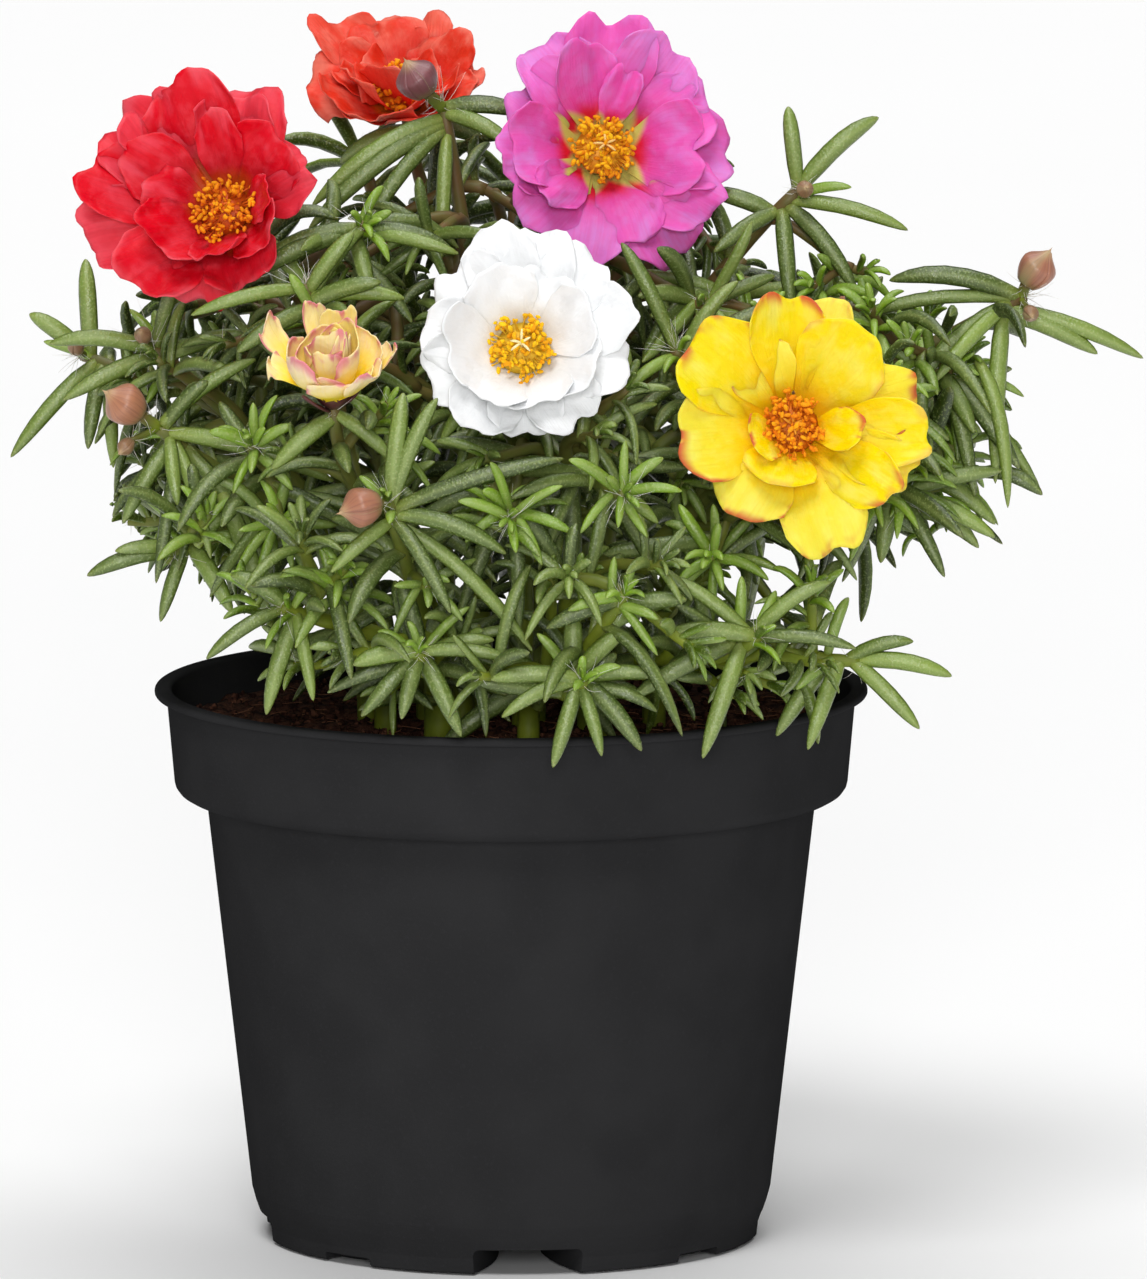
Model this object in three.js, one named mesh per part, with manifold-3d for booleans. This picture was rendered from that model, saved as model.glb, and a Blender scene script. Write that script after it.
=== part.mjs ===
// Portulaca (moss rose) in a black nursery pot. Millimetres, +Z up.
// The origin is on the pot's axis, on the surface that the pot stands on; the front faces -Y.
import * as THREE from "three";
import { mergeVertices } from "three/addons/utils/BufferGeometryUtils.js";
import Module from "manifold-3d";

const wasm = await Module();
wasm.setup();

// ---- Driving dimensions ----

const CLEARANCE = 0.3;
const SEAT_GAP = 0.5;
const SLIVER = 0.08;
const BEND_CLEARANCE = 0.45;
const WALL = 1.2;
const POT_SIDES = 30;
const RIM_RADIUS = 60;
const POT_HEIGHT = 93;
const FOOT_RADIUS = 41.8;
const FOOT_RISE = 2.6;
const FOOT_FLARE = 1.4;
const FOOT_STEP_HEIGHT = 5.8;
const BODY_FOOT_RADIUS = 43.8;
const BODY_FOOT_HEIGHT = 8;
const COLLAR_HEIGHT = 75;
const BODY_TOP_RADIUS = 51.4;
const COLLAR_RADIUS = 56.5;
const COLLAR_TOP_RADIUS = 58;
const LIP_HEIGHT = 91.8;
const FLOOR_THICKNESS = 1.4;
const FLOOR_RING_RADIUS = 36;
const FLOOR_RING_THICKNESS = 2.8;
const CHANNEL = { width: 19, innerWidth: 7, height: 4.2, innerRadius: 19, cover: 1.2, drain: 3 };
const FOOT_TURN = 4;
const NOTCH = { width: 10, innerWidth: 10, height: 1.4, innerRadius: 37.6 };

const SOIL_SIDES = 15;
const SOIL_HEIGHT = 88;
const SOIL_BUMP = 1.1;
const ROOT_DEPTH = 7;

const STEM_SIDES = 5;
const BRANCH_SIDES = 3;
const STEM_TIP_RADIUS = 1.05;
const STEM_STEP = 19;
// A shoot's curve: shares of its reach at which it leaves its foot and comes into its tip.
const MAIN_BEND = { rise: 0.42, lead: 0.38 };
const BRANCH_BEND = { along: 0.3, rise: 0.12, lead: 0.35 };
const BRANCH_SLENDERNESS = 0.85;
const TIP_LEAN_DEPTH = 34;
const SHOOT_TEST_POINTS = 40;
const SHOOT_FREE_END = 4;
const LEAF_SPACING = 0.8;
const LEAF_TEST_POINTS = 7;
const LEAF_THICKNESS = 0.52;
const LEAF_WIDTH = 3.7;
const YOUNG_LEAF_WIDTH = 2.4;
const YOUNG_LEAF_LENGTH = 11.5;
const LOWER_LEAF_LENGTH = 16;
const TIP_LEAF_SHARES = [0.3, 0.76];
const LOWER_LEAF_SHARES = [0.5];
const LEAF_BOW = { forward: 0.16, up: 0.128 };
const MAIN_LEAF_PLACES = [0.46, 0.7];
const BRANCH_LEAF_PLACES = [0.55];
const GOLDEN_ANGLE = 137.5;

const PETAL_THICKNESS = 0.7;
const PETAL_FOOT = [1.7, -6.2];
const PETAL_CUP = 0.08;
const PETAL_RUFFLE = 0.35;
const PETAL_ROWS = [0, 0.5, 1];
const PETAL_COLUMNS = [-1, 0, 1];
const RECEPTACLE = { bottom: -7.6, top: -3.2, bottomRadius: 1.3, radius: 2.9, sides: 8 };
const STAMENS = { count: 12, reach: 6.1, foot: -2.9, anther: 0.85 };
// Profile [radius, height along the bloom's axis] of the room that the stamens take in a bloom.
const STAMEN_ROOM = [[0, -3.1], [1.9, -3.1], [4.2, -1.9], [7.3, -1.1], [7.3, 1.6], [4, 3.2], [0, 3.6]];

// The blooms' common outlook: straight to the front and raised a little.
const OUTLOOK_RISE = 8.5;

// ---- Plant tables ----
// Leafy stems: name, foot on the soil [x, y], radius at the soil.
const STEMS = [
  ["stem_front", [3, -27], 1.9],
  ["stem_front_right", [15, -23], 2.0],
  ["stem_front_left", [-12, -22], 2.6],
  ["stem_white", [2, -15], 1.9],
  ["stem_yellow", [13, -12], 2.0],
  ["stem_half_open", [-8, -12], 1.8],
  ["stem_left_bud", [-21, -11], 2.0],
  ["stem_right", [24, -5], 2.1],
  ["stem_left", [-24, 1], 2.0],
  ["stem_red", [-14, -2], 2.0],
  ["stem_magenta", [4, -4], 1.9],
  ["stem_orange", [-5, 6], 1.9],
  ["stem_upper_right", [14, 2], 1.9],
  ["stem_back_right", [24, 10], 1.9],
  ["stem_back_right_inner", [11, 14], 1.9],
  ["stem_back", [1, 21], 1.9],
  ["stem_back_left_inner", [-11, 17], 1.9],
  ["stem_back_left", [-23, 12], 1.9],
];

// Blooms: the centre is that of the anthers.
// A petal: its tip from the centre (right and up in the front view, height along the bloom's axis),
// width, and a deeper cup where it has one. Neighbours lie at different heights.
const BLOOMS = [
  { name: "red", centre: [-48, -24, 177], axis: [-0.28, -0.88, 0.36], petals: [
    [6, 21, 0, 14], [10, 12, 4, 13, 0.2], [15, 7, 0.5, 13], [9, -6, 4, 11, 0.25], [5, -13, 1.5, 13],
    [-5, -16, 0, 13], [-15, -13, 2.5, 14], [-23, -5, 0, 14], [-23, 6, 2.5, 13], [-19, 16, 0, 14],
    [-7, 22, 2.5, 15], [-17, 10, 5.5, 11, 0.2],
  ] },
  { name: "orange", centre: [-18, 24, 191.7], axis: [-0.06, -0.6, 0.8], petals: [
    [-13, 9, 0, 13], [-5, 13, 2.5, 14], [2, 13, 0, 13], [9, 10, 2.5, 13], [13, 4, 0.5, 13],
    [11, -2, 3, 12], [4, -6, 4.5, 12], [-6, -7, 3.5, 13], [-13, -3, 4.5, 12], [-17, 2, 2, 13],
    [-8, 5, 5.5, 10, 0.2], [5, 6, 5.5, 10, 0.2],
  ] },
  { name: "magenta", centre: [15.5, -10, 185.5], axis: [0.16, -0.92, 0.36], petals: [
    [2, 23, 2.5, 15], [12, 17, 0, 14], [18.5, 9, 2.5, 14], [22, -1, 0, 14], [19, -11, 2.5, 13],
    [13, -19, 0, 14], [5, -17, 2.5, 14], [-4, -20, 0, 14], [-13, -13, 2.5, 13], [-18, -2, 0, 14],
    [-14, 12, 1.5, 14],
  ] },
  { name: "white", centre: [2, -52, 157.5], axis: [-0.03, -0.94, 0.34], petals: [
    [-5, 20, 0, 12], [4, 20, 2.5, 12], [12, 16, 0, 12], [19, 7, 2.5, 12], [18, -4, 0, 12],
    [10, -13, 2.5, 12], [1, -15, 0, 12], [-9, -14, 2.5, 12], [-16, -6, 0, 12], [-17, 3, 2.5, 12],
    [-12, 14, 1, 12],
  ] },
  { name: "yellow", centre: [46.6, -52, 144.3], axis: [0.02, -0.95, 0.24], petals: [
    [0, 22.5, 2.5, 13], [7, 22, 0, 12], [14, 15, 2.5, 14], [21, 6, 0, 13], [22.5, -3, 2.5, 14],
    [17, -11, 0, 13], [6, -22, 1, 15], [-3, -14, 4, 12], [-12, -15, 0.5, 14], [-21, 0, 2.5, 14],
    [-17, 14.5, 0, 14],
  ] },
  { name: "half_open", centre: [-29.5, -57, 154.5], axis: [-0.05, -0.42, 0.9], petals: [
    [-10, 8, 5, 10, 0.2], [-3, 11, 7, 10, 0.2], [4, 8, 5, 10, 0.2], [10, 2, 5, 10, 0.2],
    [-10, 1, 4, 10, 0.2], [6, -3, 3.5, 10, 0.2], [-3, 4, 9, 9, 0.3],
  ] },
];

// Buds: name, base, pointing direction, length, radius, stem that carries it.
const BUDS = [
  ["bud_right", [86, -11, 162.5], [0.55, -0.25, 0.8], 8.2, 2.8, "stem_right"],
  ["bud_right_small", [86.5, -13.5, 158.4], [0.1, -0.95, -0.2], 4.2, 1.7, "stem_right"],
  ["bud_left", [-61.5, -33, 143.5], [-0.75, -0.35, 0.55], 8.4, 3.1, "stem_left_bud"],
  ["bud_left_small", [-63, -35, 139.5], [-0.5, -0.7, -0.5], 4.2, 1.7, "stem_left_bud"],
  ["bud_centre", [-21.5, -64, 133], [-0.85, -0.45, -0.15], 8.2, 2.9, "stem_front_left"],
  ["bud_orange", [-14, 2, 193], [-0.5, -0.3, 0.8], 8, 3.2, "stem_orange"],
  ["bud_upper_left", [-61, -18, 154], [-0.2, -0.8, 0.5], 4.5, 1.8, "stem_left"],
  ["bud_far_left", [-72.5, 1, 149.5], [-0.2, -0.8, 0.5], 4.4, 1.7, "stem_left"],
  ["bud_upper_right", [49, -12.5, 178.5], [0.1, -0.95, 0.2], 4.4, 1.8, "stem_upper_right"],
  ["bud_back", [4, 71, 149], [0.1, 0.75, 0.6], 8, 3.1, "stem_back"],
  ["bud_back_left", [-48, 47, 158], [-0.5, 0.5, 0.65], 7.6, 3.0, "stem_back_left"],
  ["bud_back_right", [56, 45, 148], [0.5, 0.45, 0.7], 7.6, 3.0, "stem_back_right"],
];

// Shoots of each stem. The first shoot of a stem grows from the soil, the others grow from it at
// a fraction of its length. A shoot: stem, fraction, tip, leaves.
// Leaves are tips from the shoot's tip (right, up, forward in the front view), or a ring of
// leaves: [count, length, spread in degrees from the shoot's direction, first turn].
const SHOOTS = [
  ["stem_front", 0, [12, -66, 104], [[-15, 0, 2], [-13, -5, 5], [-4, -15, 3], [4, -12, 6],
    [11, -10, 3], [14, 1, 2], [8, 9, 2], [-6, 8, 3], [0, 12, 1]]],
  ["stem_front", 0.7, [19, -64, 118], [[-9, -2, 4], [-12, -5, 2], [6, -9, 3], [7, -2, 5],
    [12, 1, 2], [0, 9, 3]]],
  ["stem_front_right", 0, [41, -57, 110], [[-15, 0, 2], [-14, 10, 1], [13, 11, 2], [18, -1, 3],
    [-6, -19, 3], [-18, -10, 1], [1, 11, 2]]],
  ["stem_front_right", 0.65, [58, -46, 104], [[16, -2, 1], [11, -12, 2], [11, 4, 2],
    [-5, -14, 4], [-7, -5, 4], [-9, -13, 0], [3, 11, 1]]],
  ["stem_front_left", 0, [-15, -61, 108], [[-11, -2, 3], [15, -1, 2], [-9, -11, 2], [-3, -10, 5],
    [6, -13, 3], [8, 8, 2], [-4, 13, 1], [12, 3, 3]]],
  ["stem_front_left", 0.5, [-20, -62, 133], [[3, 20, 1], [9, 17, 2], [28, 10, 1], [19, -5, 3],
    [10, -16, 3], [-10, -9, 3], [23, -19, -3]]],
  ["stem_front_left", 0.45, [-38, -52, 114], [[-13, -8, 2], [-9, 7, 2], [6, 8, 3], [3, -14, 4],
    [-6, -16, 1]]],
  ["stem_white", 0, "white", [[-14, -12, 1], [15, -11, 0]]],
  ["stem_white", 0.62, [0, -63, 130], [[-8, 4, 3], [8, 6, 3], [-3, 9, 3], [10, -3, 3],
    [4, -9, 4], [-7, -6, 4]]],
  ["stem_white", 0.55, [19, -62, 134], [[0, 9, 3], [10, 1, 3], [7, 6, 2], [-9, 4, 3],
    [-6, -7, 4], [5, -8, 4]]],
  ["stem_yellow", 0, "yellow", [[-13, -9, -1], [11, -13, -1]]],
  ["stem_yellow", 0.6, [27.5, -37, 155], [[-10, 19, 2], [-9, -5, 4], [9, 14, 2], [16, 10, 1],
    [5, 11, 4], [-5, 12, 1]]],
  ["stem_half_open", 0, "half_open", [[10, -8, 1], [-10, -9, 1]]],
  ["stem_half_open", 0.75, [-34, -38, 166], [[-19, -5, 2], [8, 10, 2], [16, 0, 2], [12, 3, 5],
    [-12, -8, 4], [-4, 6, 3]]],
  ["stem_left_bud", 0, [-59, -31, 141.5], [[16, 12, 2], [8, 9, 4], [28, -9, 2], [1, -12, 5],
    [7, -19, 3], [-9, -13, 2], [-3, -22, 1], [16, -24, -2]]],
  ["stem_left_bud", 0.55, [-43, -44, 140], [[-7, 3, 4], [7, 4, 3], [0, 8, 3], [-4, -7, 4],
    [6, -6, 3]]],
  ["stem_left_bud", 0.6, [-56, -30, 120], [[-15, -4, 2], [-11, -1, 4], [-4, -12, 3], [7, -11, 4],
    [-8, 8, 2], [5, 9, 3]]],
  ["stem_right", 0, [86, -10, 160.5], [[-22, 5, 2], [-29, -3, 0], [-18, -14, 6], [-12, -13, 9],
    [-3, -29, 3], [24, -9, -3], [17, -7, -1]]],
  ["stem_right", 0.75, [74, -15, 148], [[11, -17, 2], [5, -20, 5], [16, -19, -3], [6, -10, 8],
    [-2, 9, 4], [6, 8, 2]]],
  ["stem_right", 0.6, [66, -24, 128], [[15, -6, 2], [17, 3, 0], [7, -14, 3], [-3, -12, 4],
    [4, 10, 3]]],
  ["stem_left", 0, [-60, -15, 152.5], [[6, 18, 6], [-18, 3, 2], [-16, -8, 4], [14, 4, 3],
    [-6, 9, 2], [-4, -7, 6]]],
  ["stem_left", 0.7, [-72, 5, 148.5], [[-10, 7, 1], [-1, 17, 0], [-9, 1, 4], [-14, -16, 2],
    [-3, -15, 3], [1, -18, -2]]],
  ["stem_red", 0, "red", [[-12, -10, -2], [13, -12, -1]]],
  ["stem_red", 0.75, [-24, -24, 174], [[-9, -11, 4], [-17, -2, 2], [-20, -6, 3], [16, -2, 2],
    [17, -5, 5], [3, -11, 5]]],
  ["stem_magenta", 0, "magenta", [[14, -14, -2], [-12, -14, -2]]],
  ["stem_magenta", 0.7, [33, -24, 160], [7, 15, 72, 20]],
  ["stem_orange", 0, [-11.5, 4, 191], [[14, 0, 1], [12, -5, 4], [-22, -13, 2], [-23, -18, 4],
    [-16, -19, 6], [-1, -23, 4]]],
  ["stem_orange", 0.55, "orange", [[13, -2, -5], [-12, -5, -4]]],
  ["stem_upper_right", 0, [48.5, -9, 178.5], [[-2, 15, 2], [14, 14, 0], [10, 2, 4], [20, -5, 2],
    [14, -12, 3], [1, -17, 5], [-12, -5, 4], [-11, 5, 2]]],
  ["stem_upper_right", 0.7, [57, 17, 148], [6, 16, 70, 40]],
  ["stem_back_right", 0, [54, 43, 146], [6, 17, 68, 0]],
  ["stem_back_right", 0.6, [74, 26, 134], [6, 18, 72, 30]],
  ["stem_back_right", 0.5, [60, 44, 116], [6, 18, 74, 70]],
  ["stem_back_right_inner", 0, [24, 37, 178], [6, 16, 66, 10]],
  ["stem_back_right_inner", 0.6, [36, 62, 140], [6, 18, 72, 50]],
  ["stem_back_right_inner", 0.45, [29, 66, 112], [6, 17, 76, 20]],
  ["stem_back", 0, [4, 69, 148], [6, 18, 70, 30]],
  ["stem_back", 0.6, [0, 54, 172], [6, 17, 68, 0]],
  ["stem_back", 0.5, [-2, 70, 118], [6, 18, 74, 60]],
  ["stem_back_left_inner", 0, [-26, 40, 178], [6, 18, 66, 45]],
  ["stem_back_left_inner", 0.6, [-30, 60, 138], [6, 18, 72, 15]],
  ["stem_back_left_inner", 0.45, [-30, 64, 112], [6, 17, 76, 55]],
  ["stem_back_left", 0, [-47, 45, 156], [6, 18, 68, 20]],
  ["stem_back_left", 0.6, [-61, 31, 131], [6, 15, 72, 60]],
  ["stem_back_left", 0.5, [-51, 44, 113], [6, 15, 74, 0]],
];

// ---- Materials ----

const COLOURS = {
  pot: [0x1d1d1e, 0.45],
  soil: [0x3a2016, 0.95],
  leaf: [0x6c8a4a, 0.6],
  bud: [0xa8766a, 0.6],
  stamens: [0xf0a010, 0.6],
  red: [0xd81028, 0.5],
  orange: [0xe84a28, 0.5],
  magenta: [0xd048a8, 0.5],
  white: [0xf6f4f0, 0.5],
  yellow: [0xfcd810, 0.5],
  half_open: [0xf6dc78, 0.5],
};

function material(kind) {
  const [color, roughness] = COLOURS[kind];
  return new THREE.MeshStandardMaterial({ color, roughness, metalness: 0 });
}

// ---- Solids ----

const vec = (array) => new THREE.Vector3(...array);
const UP = new THREE.Vector3(0, 0, 1);
const radians = THREE.MathUtils.degToRad;
const lerp = THREE.MathUtils.lerp;

function geometryOf(corners, faces) {
  const geometry = new THREE.BufferGeometry();
  geometry.setAttribute("position", new THREE.Float32BufferAttribute(corners, 3));
  geometry.setIndex(faces);
  return geometry;
}

// A closed geometry as a solid; triangles that closed up to a line are left out.
function solidOf(geometry) {
  const bare = geometry.clone();
  bare.deleteAttribute("normal");
  bare.deleteAttribute("uv");
  const merged = mergeVertices(bare, 1e-4);
  const index = merged.index.array;
  const faces = [];
  for (let i = 0; i < index.length; i += 3) {
    const [a, b, c] = [index[i], index[i + 1], index[i + 2]];
    if (a !== b && b !== c && c !== a) faces.push(a, b, c);
  }
  const mesh = new wasm.Mesh({
    numProp: 3,
    vertProperties: new Float32Array(merged.attributes.position.array),
    triVerts: new Uint32Array(faces),
  });
  return new wasm.Manifold(mesh);
}

function joined(solids) {
  return solids.reduce((whole, solid) => whole.add(solid));
}

// The largest body of a cut solid; loose scraps are dropped.
function largestBody(solid) {
  const bodies = solid.decompose();
  return bodies.reduce((best, body) => (body.volume() > best.volume() ? body : best));
}

// A node's mesh; slivers that the joins left are merged away.
function meshOf(name, solid, kind) {
  const clean = largestBody(solid.asOriginal().simplify(SLIVER));
  const { vertProperties, triVerts } = clean.getMesh();
  const geometry = geometryOf(Array.from(vertProperties), Array.from(triVerts));
  const mesh = new THREE.Mesh(geometry, material(kind));
  mesh.name = name;
  return mesh;
}

// A closed skin over rings of points; a ring of one point is a pole.
function loft(rings) {
  const corners = [];
  const faces = [];
  const starts = [];
  for (const ring of rings) {
    starts.push(corners.length / 3);
    for (const point of ring) corners.push(point.x, point.y, point.z);
  }
  const at = (i, j) => starts[i] + (j % rings[i].length);
  for (let i = 0; i + 1 < rings.length; i += 1) {
    const count = Math.max(rings[i].length, rings[i + 1].length);
    for (let j = 0; j < count; j += 1) {
      if (rings[i].length > 1) faces.push(at(i, j), at(i, j + 1), at(i + 1, j));
      if (rings[i + 1].length > 1) faces.push(at(i, j + 1), at(i + 1, j + 1), at(i + 1, j));
    }
  }
  const last = rings.length - 1;
  for (let j = 1; j + 1 < rings[0].length; j += 1) faces.push(at(0, 0), at(0, j + 1), at(0, j));
  for (let j = 1; j + 1 < rings[last].length; j += 1) {
    faces.push(at(last, 0), at(last, j), at(last, j + 1));
  }
  return solidOf(geometryOf(corners, faces));
}

// A solid of revolution about Z from a profile of [radius, z] points.
function turned(profile, sides) {
  const points = profile.map(([radius, z]) => new THREE.Vector2(radius, z));
  return solidOf(new THREE.LatheGeometry(points, sides).rotateX(Math.PI / 2));
}

// The same solid moved so that its +Z points along a direction from a place.
function aimed(profile, sides, place, direction) {
  const points = profile.map(([radius, z]) => new THREE.Vector2(radius, z));
  const geometry = new THREE.LatheGeometry(points, sides).rotateX(Math.PI / 2);
  geometry.applyQuaternion(new THREE.Quaternion().setFromUnitVectors(UP, direction));
  geometry.translate(place.x, place.y, place.z);
  return solidOf(geometry);
}

// A tube of the given radii through points, with flat ends.
function tube(points, radii, sides) {
  const rings = [];
  let side = new THREE.Vector3(1, 0, 0);
  points.forEach((point, i) => {
    const ahead = points[Math.min(i + 1, points.length - 1)];
    const behind = points[Math.max(i - 1, 0)];
    const along = ahead.clone().sub(behind).normalize();
    side = side.clone().addScaledVector(along, -side.dot(along)).normalize();
    const across = along.clone().cross(side);
    const ring = [];
    for (let j = 0; j < sides; j += 1) {
      const angle = (2 * Math.PI * j) / sides;
      ring.push(point.clone()
        .addScaledVector(side, radii[i] * Math.cos(angle))
        .addScaledVector(across, radii[i] * Math.sin(angle)));
    }
    rings.push(ring);
  });
  return loft(rings);
}

// ---- Pot and soil ----

// A channel or notch under the floor: a low arch that widens outward from its inner end.
function archedVoid({ innerRadius, innerWidth, width, height }, outer, grow) {
  const rings = [];
  const steps = 3;
  for (let i = 0; i <= steps; i += 1) {
    const radius = lerp(innerRadius - grow, outer, i / steps);
    const share = Math.max(0, (radius - innerRadius) / (FOOT_RADIUS - innerRadius));
    const half = lerp(innerWidth, width, share * share) / 2 + grow;
    const top = height + grow;
    const shoulder = Math.min(1.2, 0.4 * height);
    const section = [[-half, -1], [-half, top - shoulder], [-half + shoulder, top],
      [half - shoulder, top], [half, top - shoulder], [half, -1]];
    rings.push(section.map(([y, z]) => new THREE.Vector3(radius, -y, z)));
  }
  return loft(rings);
}

// Four copies, a quarter turn apart, turned with the pot's foot.
function quarterTurns(solid, first) {
  const turns = [0, 90, 180, 270].map((turn) => FOOT_TURN + first + turn);
  return joined(turns.map((degrees) => solid.rotate([0, 0, degrees])));
}

function potSolid() {
  const inner = (radius) => radius - WALL;
  const outside = [
    [0, 0], [FOOT_RADIUS, 0], [FOOT_RADIUS + 0.3, FOOT_RISE],
    [FOOT_RADIUS + FOOT_FLARE, FOOT_STEP_HEIGHT],
    [BODY_FOOT_RADIUS, BODY_FOOT_HEIGHT], [BODY_TOP_RADIUS, COLLAR_HEIGHT],
    [COLLAR_RADIUS - 1.6, COLLAR_HEIGHT], [COLLAR_RADIUS, COLLAR_HEIGHT + 2.4],
    [COLLAR_TOP_RADIUS, LIP_HEIGHT], [RIM_RADIUS - 0.5, LIP_HEIGHT],
    [RIM_RADIUS, LIP_HEIGHT + 0.5], [RIM_RADIUS - 0.6, POT_HEIGHT],
  ];
  const inside = [
    [inner(COLLAR_TOP_RADIUS) + 0.8, POT_HEIGHT],
    [inner(COLLAR_RADIUS), COLLAR_HEIGHT + 2.4], [inner(BODY_TOP_RADIUS), COLLAR_HEIGHT + WALL],
    [inner(BODY_FOOT_RADIUS), BODY_FOOT_HEIGHT + 0.6], [inner(FOOT_RADIUS), FOOT_STEP_HEIGHT],
    [inner(FOOT_RADIUS), FLOOR_RING_THICKNESS], [FLOOR_RING_RADIUS, FLOOR_RING_THICKNESS],
    [FLOOR_RING_RADIUS - 1.6, FLOOR_THICKNESS], [0, FLOOR_THICKNESS],
  ];
  const shell = turned([...outside, ...inside], POT_SIDES);
  const { innerRadius, cover, drain } = CHANNEL;
  const channel = archedVoid(CHANNEL, FOOT_RADIUS + 2, 0);
  const roof = archedVoid(CHANNEL, FOOT_RADIUS - 1.5, cover);
  const notch = archedVoid(NOTCH, FOOT_RADIUS + 2, 0);
  const floorPlane = turned([[0, -3], [60, -3], [60, 0], [0, 0]], 8);
  const hole = turned([[0, 1], [drain, 1], [drain, 8], [0, 8]], 8)
    .translate([innerRadius + drain + 0.6, 0, 0]);
  const covered = shell.add(quarterTurns(roof, -90).subtract(floorPlane));
  return covered.subtract(quarterTurns(channel.add(hole), -90)).subtract(quarterTurns(notch, -45));
}

// The soil's surface: gentle lumps, lower towards the wall.
function soilHeight(x, y) {
  const lumps = Math.sin(x * 0.31 + 1.3) * Math.cos(y * 0.27) + 0.6 * Math.sin((x + y) * 0.55);
  return SOIL_HEIGHT + SOIL_BUMP * 0.6 * lumps - Math.hypot(x, y) * 0.012;
}

function soilSolid(stems) {
  const c = CLEARANCE;
  const inner = (radius) => radius - WALL - c;
  const sides = [
    [FLOOR_RING_RADIUS - 3.5, FLOOR_THICKNESS + c],
    [inner(FOOT_RADIUS) - 0.3, FOOT_STEP_HEIGHT - c],
    [inner(BODY_FOOT_RADIUS) - 0.1, BODY_FOOT_HEIGHT + 1.2],
    [inner(BODY_TOP_RADIUS) - 0.1, COLLAR_HEIGHT + WALL + c + 0.1],
    [inner(COLLAR_RADIUS) - 1.4, COLLAR_HEIGHT + WALL + 2],
  ];
  const ring = (radius, height) => {
    const points = [];
    for (let j = 0; j < SOIL_SIDES; j += 1) {
      const angle = (2 * Math.PI * j) / SOIL_SIDES;
      const [x, y] = [radius * Math.cos(angle), radius * Math.sin(angle)];
      points.push(new THREE.Vector3(x, y, height ?? soilHeight(x, y)));
    }
    return points;
  };
  const rings = [[new THREE.Vector3(0, 0, FLOOR_THICKNESS + c)]];
  for (const [radius, z] of sides) rings.push(ring(radius, z));
  for (const share of [1, 0.72, 0.4]) rings.push(ring(54.6 * share));
  rings.push([new THREE.Vector3(0, 0, soilHeight(0, 0))]);
  const bump = archedVoid(CHANNEL, FOOT_RADIUS + 2, CHANNEL.cover + c);
  let soil = loft(rings).subtract(quarterTurns(bump, -90));
  for (const { foot, radius } of stems) {
    const room = radius + 2 * c;
    const hole = turned([[0, 0], [room, 0], [room, 30], [0, 30]], 5);
    soil = soil.subtract(hole.translate([foot.x, foot.y, SOIL_HEIGHT - ROOT_DEPTH - c]));
  }
  return soil;
}

// ---- Room for the pieces ----
// Every laid piece is kept as a row of balls. A new piece of another node has to clear them.

const laidBalls = [];

// Over the rim, inside the pot above the soil, or outside the pot.
function clearsPot({ at, radius }) {
  const reach = Math.hypot(at.x, at.y);
  const overRim = at.z - radius > POT_HEIGHT + BEND_CLEARANCE;
  const inside = reach + radius < COLLAR_RADIUS - WALL - BEND_CLEARANCE
    && at.z - radius > SOIL_HEIGHT + SOIL_BUMP;
  const outside = reach - radius > RIM_RADIUS + BEND_CLEARANCE;
  return overRim || inside || outside;
}

function ballsClear(node, balls) {
  return balls.every((ball) => (ball.rooted || clearsPot(ball))
    && laidBalls.every((laid) => laid.node === node
      || laid.at.distanceTo(ball.at) > laid.radius + ball.radius + BEND_CLEARANCE));
}

function layBalls(node, balls) {
  for (const ball of balls) laidBalls.push({ node, ...ball });
}

// Lays the first trial whose balls are clear, or none.
function firstClear(node, trials) {
  const found = trials.find((trial) => ballsClear(node, trial.balls));
  if (found) layBalls(node, found.balls);
  return found;
}

// ---- Shoots and leaves ----

// Axes across (right, up) and along (forward) a direction of outlook.
function outlookFrame(forward) {
  const right = UP.clone().cross(forward).normalize();
  return { right, up: forward.clone().cross(right), forward: forward.clone() };
}

const FRONT = outlookFrame(new THREE.Vector3(
  0, -Math.cos(radians(OUTLOOK_RISE)), Math.sin(radians(OUTLOOK_RISE))));

function offsetIn(frame, [right, up, forward]) {
  return new THREE.Vector3()
    .addScaledVector(frame.right, right)
    .addScaledVector(frame.up, up)
    .addScaledVector(frame.forward, forward);
}

function bezier(controls, steps) {
  return new THREE.CubicBezierCurve3(...controls).getPoints(steps);
}

function ballsAlong(points, radiusAt) {
  return points.map((at, i) => ({ at, radius: radiusAt(i / (points.length - 1)) }));
}

// Half width of a leaf along its length: narrow foot, even blade, blunt tip.
function leafHalfWidth(share, width) {
  const foot = Math.min(1, 0.5 + 2.2 * share);
  const tip = Math.sqrt(Math.max(0, 1 - Math.max(0, (share - 0.62) / 0.38) ** 2));
  return (width / 2) * foot * tip;
}

function leafWidth(length) {
  return length < YOUNG_LEAF_LENGTH ? YOUNG_LEAF_WIDTH : LEAF_WIDTH;
}

// A leaf's line bows out along the shoot's outlook and a little upward.
function leafLine(base, offset, frame, steps) {
  const length = offset.length();
  const tip = base.clone().add(offset);
  const middle = base.clone().addScaledVector(offset, 0.5)
    .addScaledVector(frame.forward, LEAF_BOW.forward * length)
    .addScaledVector(UP, LEAF_BOW.up * length);
  return new THREE.QuadraticBezierCurve3(base, middle, tip).getPoints(steps);
}

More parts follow.
